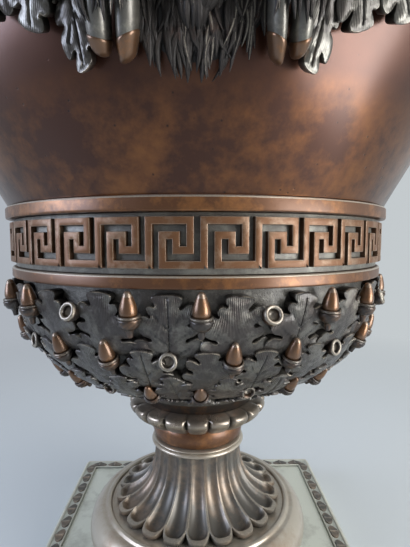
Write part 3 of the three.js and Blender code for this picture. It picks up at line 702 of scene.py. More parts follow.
class KRATER_OT_foot(bpy.types.Operator):
    """The riser, the round moulding, the fluted foot, the rings and the gadrooned dish"""
    bl_idname = "krater.foot"
    bl_label = "Foot"

    def execute(self, context):
        base, top = span("foot_riser")
        riser = eased([[BORE, base], [72, base], [72, top - 3.2], [68.5, top], [BORE, top]], 0.8)
        put("foot_riser_ring", turned(riser, 160), "grey", "grey_patina", ["foot_riser"])

        # The radius of the moulding and of the circle it runs on. A thin raised ring tops it.
        tube, middle = 15.4, 62.0
        base, seat = span("foot_torus")
        round_part = arc(middle, base + tube, tube, tube, -90, 62, 40)
        ring = smooth_line([
            round_part[-1], [middle + 4.6, seat - 0.2], [middle + 3.6, seat + 1.2],
            [middle + 2.2, seat + 1.7], [middle + 1.0, seat + 1.2], [middle + 0.2, seat - 0.1]], 4)
        section = np.vstack([[[BORE, base]], round_part, ring[1:], [[BORE, seat - 0.1]]])
        marks = [0.85 if z > seat + 1.2 and r > 60 else 0.0 for r, z in section]
        put("foot_torus_ring", turned(section, 220, marks), "torus", "rubbed_patina",
            ["foot_torus"])

        repeat("fluted_foot_trumpet", "fluted_foot", self.flute, sizes().flutes, "grey",
               "grey_patina")

        base, top = span("astragal")
        tall = top - base
        section = np.vstack([
            [[BORE, base], [30.2, base]],
            arc(30.4, base + 0.34 * tall, 2.9, 0.34 * tall, -80, 80, 14),
            arc(30.5, base + 0.84 * tall, 1.9, 0.15 * tall, -80, 80, 8), [[BORE, top]]])
        marks = [0.7 if z > base + 0.7 * tall else 0.1 for r, z in section]
        put("astragal_ring", turned(section, 128, marks), "torus", "rubbed_patina", ["astragal"])

        base, top = span("collar")
        swell = arc(28.8, (base + top) / 2, 3.6, (top - base) / 2, -90, 90, 24)
        section = np.vstack([[[BORE, base]], swell, [[BORE, top]]])
        put("collar_ring", turned(section, 128), "fascia", "rubbed_patina", ["collar"])

        repeat("gadrooned_dish_lobes", "gadrooned_dish", self.gadroon, sizes().gadroons, "dish",
               "rubbed_patina")
        return {"FINISHED"}

    def flute(self, count):
        """One hollow flute of the trumpet, from the middle of a ridge to the next one."""
        s = np.linspace(-1, 1, 21)[:, None]
        t = np.linspace(0, 1, 46)[None] ** 0.9
        base, top = span("fluted_foot")
        line = bezier([[31, top], [30, 86], [38, 72], [59, 68.6]], 200)
        run = np.linspace(0, 1, len(line))
        at = t * (1 - 0.13 * np.abs(s) ** 3.5)
        r, z = sample(at, run, line)
        out_r, out_z = sample(at, run, -normals(line))
        # The hollow keeps clear of the ridge between two flutes, and ends at a rolled lip.
        inside = np.clip(1 - (np.abs(s) / 0.83) ** 2, 0, 1)
        depth = (1.7 + (sizes().flute_depth / MM - 1.7) * t ** 1.5) * inside ** 0.62
        lip = np.clip((t - 0.9) / 0.06, 0, 1)
        lip = lip * lip * (3 - 2 * lip)
        depth = depth * (1 - lip)
        raised = 0.55 * np.exp(-((t - 0.965) / 0.022) ** 2) + 0.3 * np.clip(
            (np.abs(s) - 0.8) / 0.15, 0, 1) * t
        shift = raised - depth
        r = r + shift * out_r
        z = z + shift * out_z
        mark = np.clip(1.2 * np.exp(-((np.abs(s) - 0.93) / 0.13) ** 2) * (0.2 + t) + lip, 0, 1)
        mark = 0.75 * mark - 0.15 * inside * (1 - lip)
        # The edge turns down to the seat, and the flat underside runs in to the bore.
        edge_r, edge_z = r[:, -1:], z[:, -1:]
        drop = max(float(edge_z.min() - base) - 0.02, 0.1)
        bore = np.full_like(edge_r, BORE)
        r = np.hstack([r, edge_r + 0.1, edge_r - 0.7, edge_r - 2.2, bore, bore])
        z = np.hstack([z, edge_z - drop * (1.0 / 1.9), edge_z - drop * (1.7 / 1.9)]
                      + [np.full_like(edge_r, level) for level in (base, base, top)])
        # The turned-down edge is marked half as pale and the rest down to the bore near black, as
        # painted shade under the lip.
        mark = np.hstack([mark, mark[:, -1:] * 0.5] + [np.full_like(edge_r, -0.8)] * 4)
        points = polar(r, s * (TAU / count / 2), z)
        return mesh_from("flute", points, grid_quads(*r.shape, False, True)[:, ::-1], marks=mark)

    def gadroon(self, count):
        """One swelling lobe of the dish, with a narrow groove at each side."""
        s = np.linspace(-1, 1, 17)[:, None]
        base, top = span("gadrooned_dish")
        line = smooth_line([
            [28.5, base], [36, base + 0.9], [42.5, base + 3.6], [47.2, base + 7.6],
            [49, base + 11.2], [47.6, base + 13.6], [44, top]], 5)
        r0, z0 = line[None, :, 0], line[None, :, 1]
        strength = np.clip((r0 - 29) / 12, 0, 1) * np.clip((top - z0 + 1.5) / 4, 0, 1)
        groove = np.exp(-((1 - np.abs(s)) / 0.16) ** 2)
        swell = 1 - np.abs(s) ** 2.4
        r = r0 - strength * (2.3 * groove + 1.1 * (1 - swell))
        # The crowns are marked a little pale, and the grooves near black, partly as patina and
        # partly as painted shade.
        mark = strength * (0.35 * swell - 1.1 * groove)
        bore, none = np.full_like(s, BORE), np.zeros_like(s)
        z = np.hstack([z0 + 0 * r, none + top, none + base])
        r = np.hstack([r, bore, bore])
        mark = np.hstack([mark, none, none])
        points = polar(r, s * (TAU / count / 2), z)
        return mesh_from("gadroon", points, grid_quads(*r.shape, False, True), marks=mark)


# Calyx

# Both halves of an oak leaf's outline from its stem to its tip, in half widths and lengths.
OAK_LEFT = [
    (0.09, 0), (0.1, 0.05), (0.17, 0.085), (0.5, 0.1), (0.8, 0.14), (0.97, 0.21), (0.99, 0.29),
    (0.9, 0.36), (0.73, 0.38), (0.57, 0.36), (0.47, 0.365), (0.52, 0.4), (0.71, 0.42),
    (0.87, 0.48), (0.93, 0.56), (0.89, 0.65), (0.77, 0.705), (0.63, 0.71), (0.52, 0.7),
    (0.49, 0.715), (0.54, 0.745), (0.58, 0.79), (0.55, 0.835), (0.45, 0.855), (0.35, 0.845),
    (0.31, 0.86), (0.36, 0.89), (0.4, 0.93), (0.37, 0.97), (0.25, 0.99), (0.12, 1), (0, 1)]
OAK_RIGHT = [
    (0.09, 0), (0.1, 0.05), (0.17, 0.085), (0.5, 0.095), (0.83, 0.14), (1.03, 0.23), (1.05, 0.32),
    (0.96, 0.39), (0.82, 0.42), (0.66, 0.39), (0.54, 0.36), (0.48, 0.37), (0.54, 0.41),
    (0.71, 0.44), (0.82, 0.49), (0.82, 0.55), (0.73, 0.595), (0.6, 0.59), (0.51, 0.6),
    (0.56, 0.635), (0.7, 0.665), (0.79, 0.73), (0.78, 0.81), (0.68, 0.865), (0.54, 0.865),
    (0.42, 0.835), (0.33, 0.81), (0.28, 0.825), (0.33, 0.865), (0.4, 0.91), (0.4, 0.955),
    (0.29, 0.985), (0.13, 1), (0, 1)]
# Where a pair of side veins leaves the midrib, how far across it runs, and where it ends.
VEINS = [(0.1, 0.62, 0.29), (0.3, 0.6, 0.53), (0.52, 0.42, 0.75)]


def spaced(line, step):
    """A closed line cut into even steps."""
    line = np.vstack([line, line[:1]])
    run = runs(line)
    at = np.linspace(0, run[-1], int(run[-1] / step) + 1)[:-1]
    return np.column_stack(sample(at, run, line))


def edge_field(points, ring):
    """How far each point lies inside a closed line, and the number of its nearest step."""
    step = np.roll(ring, -1, 0) - ring
    gap = points[:, None] - ring[None]
    share = np.clip((gap * step).sum(-1) / (step ** 2).sum(-1), 0, 1)
    away = np.linalg.norm(gap - share[..., None] * step, axis=-1)
    near = away.argmin(1)
    above = gap[..., 1] < 0
    crossed = above != np.roll(above, -1, 1)
    rise = np.where(step[:, 1] == 0, 1e-9, step[:, 1])
    right = points[:, None, 0] < ring[:, 0] + gap[..., 1] / rise * step[:, 0]
    inside = (crossed & right).sum(1) % 2 == 1
    return np.where(inside, 1, -1) * away[np.arange(len(points)), near], near


def vein_gap(points, long, half):
    """How far each point lies from the midrib and from the side veins."""
    gap = np.full(len(points), 99.0)
    lines = [((0.0, 0.04), (0.0, 0.93))]
    for low_end, across, high_end in VEINS:
        lines += [((0.0, low_end), (hand * across, high_end)) for hand in (-1, 1)]
    for start, end in lines:
        start, end = np.array(start) * [half, long], np.array(end) * [half, long]
        way = end - start
        share = np.clip((points - start) @ way / (way @ way), 0, 1)
        gap = np.minimum(gap, np.linalg.norm(points - start - share[:, None] * way, axis=1))
    return gap


def oak_leaf(long, half, seed, rim, base=1.0, stand=5.0, curl=1.2, veins=1.0):
    """A cast oak leaf with rolled edges as x across, y along, height, relief mark, chasing
    coordinates and triangles. Thin sides drop from its edge to an underside at -base."""
    random = np.random.default_rng(seed)
    halves = [smooth_line((OAK_LEFT, OAK_RIGHT)[k], 6) for k in random.permutation([0, 1])]
    ring = spaced(np.vstack([
        halves[0] * [-half, long], halves[1][::-1][1:] * [half, long]]), 0.6)
    # A gentle warp, so that no two leaves are alike.
    phase = random.uniform(0, TAU, 8)
    swell = 1 + 0.07 * np.sin(phase[5] + 9 * ring[:, 1] / long + 0.9 * np.sign(ring[:, 0]))
    rise = 0.018 * long * np.sin(phase[6] + 2.4 * ring[:, 0] / half)
    ring = np.column_stack([
        ring[:, 0] * swell, ring[:, 1] + rise * np.clip(6 * ring[:, 1] / long, 0, 1)])
    way = np.roll(ring, -1, 0) - np.roll(ring, 1, 0)
    out = np.column_stack([-way[:, 1], way[:, 0]]) / np.linalg.norm(way, axis=1)[:, None]
    inner, wanted = [], []
    for gap in (0.3, 0.7, 1.3):
        inner.append(ring - gap * out)
        wanted.append(np.full(len(ring), 0.9 * gap))
    across, up = np.meshgrid(np.arange(-half, half, 1.1), np.arange(0, long, 1.0))
    across[::2] += 0.55
    inner.append(np.column_stack([across.ravel(), up.ravel()]))
    wanted.append(np.full(across.size, 1.8))
    if veins > 0.5:
        rows = np.arange(0.06, 0.93, 0.03)
        for shift in (-0.4, 0.0, 0.4):
            inner.append(np.column_stack([np.full(len(rows), shift), rows * long]))
            wanted.append(np.full(len(rows), 0.8))
    inner, wanted = np.vstack(inner), np.concatenate(wanted)
    away, near = edge_field(inner, ring)
    inner = inner[away > wanted]
    found = delaunay_2d_cdt([Vector(p) for p in np.vstack([ring, inner]).tolist()], [],
                            [list(range(len(ring)))], 1, 1e-5)
    points = np.array([tuple(p) for p in found[0]])
    faces = np.array([tuple(f) for f in found[2]])
    number = {first: k for k, firsts in enumerate(found[3]) for first in firsts}
    edge = np.array([number[k] for k in range(len(ring))])
    away, near = edge_field(points, ring)
    away = np.maximum(away, 0)
    away[edge] = 0
    x, y = points.T
    t, u, side = y / long, np.abs(x) / half, np.sign(x)
    # The rolled edge comes and goes, strongest on the upper sides of the lobes.
    upper = np.clip(0.35 + 0.8 * out[near, 1], 0.05, 1)
    waves = np.sin(phase[0] + 0.31 * near) * np.sin(phase[1] + 0.12 * near)
    ragged = np.clip(0.55 + 0.6 * waves, 0, 1)
    roll = np.exp(-((away - 0.38) / 0.34) ** 2) * upper * (0.4 + 0.8 * ragged)
    height = stand + curl * t ** 2 * (0.4 + 0.9 * random.uniform()) - 1.8 * (1 - t) ** 2
    height += curl * 0.8 * u ** 2 * np.sin(phase[2] + 9 * t + 0.9 * side)
    height += 0.35 * np.sin(phase[3] + TAU * t) * (1 - np.minimum(u, 1) ** 2)
    height += 1.1 * np.sin(np.clip(away / (0.3 * half), 0, 1) * np.pi / 2) - 0.6
    height += rim * roll * 1.5
    cut = np.exp(-(vein_gap(points, long, half) / 0.36) ** 2) * np.clip(away / 1.2 - 0.4, 0, 1)
    height -= (0.2 + 0.45 * veins) * cut
    # The rolled rim is marked pale, partly as wear and partly as a painted highlight strongest on
    # the lobes' upper sides; the veins are marked dark.
    mark = 1.25 * np.exp(-((away - 0.22) / 0.3) ** 2) * upper * ragged - (0.2 + 0.5 * veins) * cut
    mark -= 0.55 * np.clip(1 - 3.2 * t, 0, 1)
    bend = 0.03 * random.normal() * long
    x = x + bend * np.sin(np.pi * t)
    fan = np.stack([1.75 * np.arctan2(x, y + 0.35 * long), 0.01 * y], -1)
    # The thin sides and the underside, marked dark and near black as painted shade under the leaf.
    count, total = len(edge), len(x)
    middle = bend * np.sin(np.pi * t[edge])
    lines = [(0.99, height[edge] - 0.9, -0.5), (0.93, np.full(count, -base), -1.0)]
    for shrink, down, dark in lines:
        x = np.append(x, middle + (x[edge] - middle) * shrink)
        y, height = np.append(y, y[edge]), np.append(height, down)
        mark, fan = np.append(mark, np.full(count, dark)), np.vstack([fan, fan[edge]])
    k, following = np.arange(count), np.roll(np.arange(count), -1)
    rings = [edge, total + k, total + count + k]
    faces = [faces]
    for one, two in zip(rings, rings[1:]):
        faces.append(np.column_stack([one, one[following], two]))
        faces.append(np.column_stack([one[following], two[following], two]))
    under = delaunay_2d_cdt([Vector(p) for p in ring.tolist()], [], [list(range(count))], 1, 1e-5)
    back = np.array([under[3][j][0] for j in range(len(under[0]))])
    faces.append(rings[2][back[np.array([tuple(f) for f in under[2]])]][:, ::-1])
    faces = np.vstack(faces)
    return x, y, height, mark, fan, faces


def merged(parts):
    """One mesh from many parts: points, marks, chasing coordinates and triangles of each."""
    offset, faces = 0, []
    for place, mark, flat, triangles in parts:
        faces.append(triangles + offset)
        offset += len(place)
    mesh = mesh_from(
        "merged", np.concatenate([part[0] for part in parts]), np.concatenate(faces),
        marks=np.concatenate([part[1] for part in parts]),
        uv=np.concatenate([part[2] for part in parts]))
    return face_out(mesh)


def leaned(x, y, lean):
    """Flat places turned from upright by an angle."""
    return x * math.cos(lean) + y * math.sin(lean), y * math.cos(lean) - x * math.sin(lean)


# The sections of a nut, a cup and an empty cup, from the axis out and back, foot at zero, and how
# many steps each takes between two points.
ACORN_LINES = {
    "nut": ([
        [0.02, 4.2], [2.9, 5.0], [3.6, 6.4], [3.85, 8.0], [3.6, 10.0], [3.0, 12.2], [2.3, 14.2],
        [1.75, 15.4], [1.2, 16.2], [0.6, 16.6], [0.02, 16.7]], 4),
    "cup": ([
        [0.02, -3.5], [1.2, -3.4], [1.5, -1.6], [2.0, 0.0], [3.5, 1.0], [4.6, 2.7], [5.0, 4.4],
        [4.85, 5.0], [4.6, 5.25], [4.95, 5.6], [5.0, 6.1], [4.6, 6.5], [4.1, 6.45], [3.4, 6.2],
        [0.02, 6.0]], 3),
    "empty": ([
        [0.02, -6.0], [1.2, -5.9], [1.5, -3.0], [1.8, -0.4], [3.2, 0.6], [4.1, 2.6], [4.45, 4.8],
        [4.25, 5.9], [3.6, 6.3], [2.9, 6.0], [2.45, 5.2], [2.2, 3.6], [0.02, 2.6]], 3),
}


def revolve(line, steps, kind):
    """A solid turned from an open line that starts and ends on its own axis, along +Z."""
    count = len(line)
    angle = TAU * np.arange(steps) / steps
    r = np.broadcast_to(line[None, :, 0], (steps, count)).copy()
    z = np.broadcast_to(line[None, :, 1], (steps, count)).copy()
    mark = np.zeros((steps, count))
    if kind != "nut":
        # Scales in rows 1.15 mm high, each row half a scale on from the one below.
        shell = (z > 0.4) & (z < 5.4) & (np.arange(count)[None] < count * 0.62)
        rows = np.floor(z / 1.15)
        scales = np.abs(np.sin(5.5 * angle[:, None] + rows * TAU / 4)) * shell
        r += 0.28 * scales * shell
        mark = np.where(shell, 0.5 * scales - 0.35, mark)
        rim = (z > 5.3) & (r > (4.3 if kind == "cup" else 2.8))
        mark = np.where(rim, 0.55 if kind == "cup" else 0.8, mark)
        inside = np.arange(count)[None] > count * 0.84
        mark = np.where(inside, -1.0 if kind == "cup" else 0.75, mark)
    else:
        # The nut's tip is marked pale: partly worn metal, partly a painted highlight on its top.
        mark = np.where(z > 15, 0.6, 0.05)
    points = np.stack([r * np.cos(angle)[:, None], r * np.sin(angle)[:, None], z], -1)
    quads = grid_quads(steps, count, True, False)
    caps = [[i * count for i in range(steps)][::-1], [i * count + count - 1 for i in range(steps)]]
    return points, quads, caps, mark


def aimed(points, start, end):
    """Turns points that stand along +Z to stand from one place towards another."""
    start, end = np.array(start, float).ravel(), np.array(end, float).ravel()
    up = (end - start) / np.linalg.norm(end - start)
    side = np.cross(up, [0.0, 0.0, 1.0]) if abs(up[2]) < 0.98 else np.cross(up, [1.0, 0.0, 0.0])
    side /= np.linalg.norm(side)
    return points @ np.array([side, np.cross(up, side), up]) + start


def acorn_mesh(kind, cup, start, end):
    line = smooth_line(*ACORN_LINES[kind]) * (cup / DRAWN_CUP)
    points, quads, caps, mark = revolve(line, 22, kind)
    return face_out(mesh_from(kind, aimed(points, start, end), quads, caps, mark))


def acorn_look(kind):
    """The finish and the slot of a nut or of either cup."""
    return ("nut", "rubbed_patina") if kind == "nut" else ("dark", "dark_patina")


class KRATER_OT_calyx(bpy.types.Operator):
    """The lower bowl, the chased ground, rows of oak leaves and the acorns between them"""
    bl_idname = "krater.calyx"
    bl_label = "Oak calyx"

    def execute(self, context):
        seat, top = span("lower_bowl")
        section = np.vstack([
            [[BORE, seat + 5], [BORE, seat], [39, seat]], bowl_line(-2.3, 3),
            [[111.7, top], [106.7, top]], bowl_line(-7.3, 3, 98)[::-1], [[34, seat + 5]]])
        put("lower_bowl_wall", turned(section, 144), "dark", "dark_patina", ["lower_bowl"])
        ground = np.vstack([bowl_line(), [[114, top]], [[112, top]], bowl_line(-2.0)[::-1]])
        put("calyx_ground", turned(ground, 192, np.full(len(ground), -0.35)), "stipple",
            "dark_patina", ["oak_calyx"])
        wall = Wall(np.vstack([bowl_line(), [[114.2, top + 3]]]))
        count = sizes().leaves
        # Each row's height, its leaves' length and half width, turn in places, curl, stand, and
        # how deep its relief is marked.
        rows = [
            ("upper", 196.5, 34.0, 15.6, 0.5, 1.4, 4.8, 1),
            ("middle", 178.5, 32.0, 13.6, 0.0, 1.3, 4.8, 1),
            ("lower", 169.8, 31.0, 11.4, 0.5, 1.1, 4.4, 0.6),
            ("lowest", 156.0, 32.0, 9.0, 0.0, 0.9, 3.4, 0.4)]
        for row, (name, z, long, half, shift, curl, stand, deep) in enumerate(rows):
            cast = [oak_leaf(long, half, 100 * row + k, sizes().leaf_rim / MM, curl=curl,
                             stand=stand, veins=(0.25, 1.0, 0.1)[k % 3]) for k in range(8)]
            parts = []
            for k in range(count):
                angle = TAU * (k + shift) / count + CALYX_TURN
                lean = 0.03 + 0.06 * math.sin(7.1 * k + 2.3 * row)
                x, y, height, mark, flat, faces = cast[k % 8]
                points = wall.place(
                    angle, z + 0.5 * math.sin(5 * k), *leaned(x, y, lean), height)
                parts.append((points, mark * deep, flat, faces))
            put("calyx_leaves_" + name, merged(parts), "leaf", "dark_patina")
        self.acorns(wall, count)
        return {"FINISHED"}

    def acorns(self, wall, count):
        """Full and empty acorns in three rows, each row one motif repeated round the axis."""
        tree = ring_tree()
        cup = sizes().acorn_radius / MM
        # Each row's height, turn in places, size, first full place and stand.
        rows = [(214.8, 0.0, 1.03, 1, 7.3), (195.0, 0.5, 0.98, 2, 5.6), (175.0, 0.0, 0.86, 1, 4.4)]
        for row, (z, shift, size, phase, stand) in enumerate(rows):
            for kind in ("nut", "cup", "empty"):
                empty = kind == "empty"
                ends = ((3.5, stand - 4.2), (8.5, stand + 6.0)) if empty else (
                    (0.0, stand), (15.0, stand + 0.4))
                motif = acorn_mesh(
                    kind, cup * size, *[wall.place(0.0, z, 0.0, y, out) for y, out in ends])
                look, slot = acorn_look(kind)
                mesh = grown(tree, motif, look, Count=count, First=TAU * shift / count + CALYX_TURN,
                             Every=3, Offset=phase, Skip_these=not empty)
                put(f"acorn_{kind}s_{row + 1}", mesh, look, slot)


# Frieze

class KRATER_OT_frieze(bpy.types.Operator):
    """The two fascias, the ground between them and the Greek key on it"""
    bl_idname = "krater.frieze"
    bl_label = "Frieze"

    def execute(self, context):
        # Each fascia's outer radius, and how far its edges are eased.
        for name, outer, edge in (("lower_fascia", 119.4, 0.55), ("upper_fascia", 122.0, 0.7)):
            base, top = span(name)
            section = eased([
                [FRIEZE_INSIDE, base], [outer - 0.3, base], [outer, base + 0.8],
                [outer, top - 1.0], [outer - 0.5, top - 0.2], [outer - 1.5, top],
                [FRIEZE_INSIDE, top]], edge)
            # Only the upper outer edge is marked pale: partly wear, partly a painted highlight
            # where light from above catches it.
            marks = [0.95 if r > outer - 1.3 and z > top - 0.9 else 0.0 for r, z in section]
            put(name + "_moulding", turned(section, 256, marks, self.hand), "fascia",
                "rubbed_patina" if name == "upper_fascia" else "brown_patina", [name])
        base, top = span("key_band")
        section = eased([[FRIEZE_INSIDE, base], [KEY_GROUND, base], [KEY_GROUND, top],
                         [FRIEZE_INSIDE, top]], 0.2, 2)
        put("key_ground", turned(section, 256), "ground", "grey_patina", ["key_band"])
        repeat("greek_key", "greek_key_fret", self.key_cell, sizes().keys, "fret", "brown_patina",
               0.01, sizes().key_turn, 30)
        return {"FINISHED"}

    @staticmethod
    def hand(angle, r, z):
        """The slight waver of hand-finished mouldings."""
        return np.where(r > 112, 0.08 * np.sin(9 * angle + 0.3 * z) + 0.05 * np.sin(31 * angle), 0)

    def key_cell(self, count):
        """One cell of the key, an open strip that the next cell carries on. It is eight strokes
        wide and seven high, with eased edges."""
        # The turn and the height of one stroke, and the key's lower edge.
        stroke, rise, base = TAU / count / 8, 21.8 / 7, 240.0
        path = np.array([
            [-5.5, 0.5], [0.5, 0.5], [0.5, 6.5], [6.5, 6.5], [6.5, 2.5], [4.5, 2.5], [4.5, 4.5],
            [2.5, 4.5], [2.5, 0.5], [8.5, 0.5]])
        ground, face = KEY_GROUND - 0.2, KEY_GROUND + sizes().key_relief / MM
        section = [(-0.58, 0.0), (-0.56, 0.8), (-0.5, 0.96), (-0.42, 1.0),
                   (0.42, 1.0), (0.5, 0.96), (0.56, 0.8), (0.58, 0.0)]
        rings = []
        for k in range(1, len(path)):
            one = np.sign(np.round(path[k] - path[k - 1], 6))
            if k + 1 == len(path):
                rings.append((path[k], one, one))
                break
            gap = path[k + 1] - path[k]
            two = np.sign(np.round(gap, 6))
            rings.append((path[k], one, two))
            pieces = int(max(abs(gap)))
            rings += [(path[k] + gap * j / pieces, two, two) for j in range(1, pieces)]
        points, marks = [], []
        for (x, y), one, two in rings:
            normal = np.array([-one[1], one[0]])
            if not np.array_equal(one, two):
                normal = normal + np.array([-two[1], two[0]])
            for side, lift in section:
                px, py = x + side * normal[0], y + side * normal[1]
                points.append(polar(ground + (face - ground) * lift, stroke * px, base + rise * py))
                # The faces' eased edges are marked pale, partly as wear and partly as painted
                # highlight, and the walls down to the ground dark as painted shade.
                marks.append(0.8 if abs(side) == 0.5 else 0.2 if lift == 1.0 else -0.5)
        quads = grid_quads(len(rings), len(section), False, True)
        return mesh_from("cell", np.array(points), quads, marks=marks)


# Body, neck and rim

class KRATER_OT_body(bpy.types.Operator):
    """The belly, the neck and the turned-out rim"""
    bl_idname = "krater.body"
    bl_label = "Body, neck and rim"

    def execute(self, context):
        line = body_line()
        inner = line - 5 * normals(line)
        inner[:, 1] = np.clip(inner[:, 1], line[0, 1], line[-1, 1])
        inner[-1] = [100, line[-1, 1]]
        section = np.vstack([line, inner[::-2]])
        put("belly", turned(section, 256, None, self.beaten), "body", "brown_patina",
            ["bowl_body"])

        base, top = span("neck")
        outer = bezier([[109, base], [101, 408], [101, 415], [106, top]], 24)
        section = np.vstack([outer, [[96, top], [96, base]]])
        put("neck_ring", turned(section, 192), "body", "brown_patina", ["neck"])

        base, top = span("rim")
        section = np.vstack([
            [[97, base], [110, base], [110.6, base + 1.2], [110, base + 2.5]],
            arc(110, top - 7, 24, 14, -88, -8, 24),
            arc(133, top - 3.5, 3.5, 3.5, -80, 90, 12),
            [[126, top - 1.2], [112, top - 6.4], [101, top - 11], [98, base + 8]]])
        put("rim_lip", turned(section, 256), "body", "brown_patina", ["rim"])
        return {"FINISHED"}

    @staticmethod
    def beaten(angle, r, z):
        """Long soft waves of a hand-finished casting, too low to see but in the reflections."""
        return (0.10 * np.sin(5 * angle + 0.05 * z) + 0.06 * np.sin(11 * angle - 0.11 * z)
                + 0.04 * np.sin(23 * angle + 0.21 * z))


# The goats' skins and masks, their hooves and the oak branches

class BodyWall:
    """The body's outside, measured by height."""

    def __init__(self):
        self.line = body_line()

    def radius(self, z):
        return np.interp(z, self.line[:, 1], self.line[:, 0])

    def place(self, angle, z, height):
        """A point out from the body by a height, square to its line."""
        z = np.minimum(z, 398.0)
        r = self.radius(z)
        slope = (self.radius(z + 3) - self.radius(z - 3)) / 6
        long = np.hypot(1, slope)
        return polar(r + height / long, angle, z - height * slope / long)

    def across(self, angle, z, x, height):
        """A point beside another one, square to the front that faces the same way."""
        side = np.stack(np.broadcast_arrays(np.cos(angle), np.sin(angle), 0.0), -1)
        return self.place(angle, z, height) + np.asarray(x)[..., None] * side


# A lock's half width along it, and its section as across and out.
LOCK_WIDTH = [0.5, 0.9, 1.0, 1.0, 0.95, 0.8, 0.5, 0.1]
LOCK_SECTION = [(-1.0, 0.0), (-0.55, 0.75), (0.0, 1.0), (0.55, 0.75), (1.0, 0.0), (0.0, -0.6)]


def triangles(quads):
    return np.vstack([quads[:, [0, 1, 2]], quads[:, [0, 2, 3]]])


def hair_lock(place, start, end, width, thick, heights, random, tone_and_highlight=None):
    """A tapered lock of hair between two flat places, which place turns into points."""
    start, end = np.array(start, float), np.array(end, float)
    t = np.linspace(0, 1, len(LOCK_WIDTH))[:, None]
    way = end - start
    long = np.hypot(*way)
    side = np.array([way[1], -way[0]]) / long
    sway = 0.09 * long * random.normal() * np.sin(np.pi * t) + 0.05 * long * random.normal() * t
    s, rise = np.array(LOCK_SECTION).T
    half = width * np.array(LOCK_WIDTH)[:, None]
    off = sway + half * s
    x = start[0] + way[0] * t + side[0] * off
    y = start[1] + way[1] * t + side[1] * off
    height = heights[0] + (heights[1] - heights[0]) * t + thick * half / width * rise
    if tone_and_highlight is None:
        tone_and_highlight = random.uniform(-0.7, 0.2) if random.uniform() < 0.93 else random.uniform(0.4, 0.8)
    # Each lock's ridge takes its tone or a painted highlight, its flanks are darker as painted
    # shade, and its edges and underside are marked near black as painted shade.
    mark = np.where(rise > 0.9, tone_and_highlight, np.where(rise > 0.5, 0.4 * tone_and_highlight - 0.25, -1.0))
    mark = np.broadcast_to(mark, x.shape)
    quads = grid_quads(len(t), len(s), False, True)
    last = (len(t) - 1) * len(s)
    caps = [[0, k, k + 1] for k in range(1, 5)]
    caps += [[last, last + k + 1, last + k] for k in range(1, 5)]
    faces = np.vstack([triangles(quads)[:, ::-1], caps])
    flat = np.stack([0.11 * off, 0.01 * (y + 0 * x)], -1)
    return place(x, y, height).reshape(-1, 3), mark.ravel(), flat.reshape(-1, 2), faces


def lofted(rings, steps, ends=(0.4, 0.4)):
    """A closed smooth body through rings of points, with rounded ends."""
    rings = [np.array(ring, float) for ring in rings]

    def closed(ring, inner, bulge):
        middle = ring.mean(0)
        away = middle - inner.mean(0)
        away /= np.linalg.norm(away)
        size = np.linalg.norm(ring - middle, axis=1).mean()
        return [middle + (ring - middle) * k + away * size * bulge * h
                for k, h in ((0.78, 0.6), (0.42, 0.92), (0.06, 1.0))]

    count = len(rings[0])
    line = smooth_line([ring.ravel() for ring in rings], steps).reshape(-1, count, 3)
    first = closed(line[0], line[1], ends[0])[::-1]
    last = closed(line[-1], line[-2], ends[1])
    line = np.concatenate([first, line, last])
    rows = len(line)
    quads = grid_quads(rows, count, False, True)
    fan = np.arange(1, count - 1)
    low_cap = np.stack([0 * fan, fan, fan + 1], -1)
    base = (rows - 1) * count
    faces = np.vstack([triangles(quads)[:, ::-1], low_cap, base + low_cap[:, [0, 2, 1]]])
    return line.reshape(-1, 3), faces, rows, count


def loft_part(rings, steps, mark=0.0, ends=(0.4, 0.4), chased=1):
    """A lofted part. mark is its relief mark, or a function of the place along it."""
    points, faces, rows, count = lofted(rings, steps, ends)
    t = np.repeat(np.linspace(0, 1, rows), count)
    s = np.tile(np.linspace(0, 1, count), rows)
    marks = mark(t) if callable(mark) else np.full(len(points), float(mark))
    return points, marks, chased * np.stack([0.6 * s, 0.2 * t], -1), faces


def around(count):
    return TAU * np.arange(count) / count


def squared(wave, power):
    """A sine or cosine bent towards a square wave by a power below one."""
    return np.sign(wave) * np.abs(wave) ** power


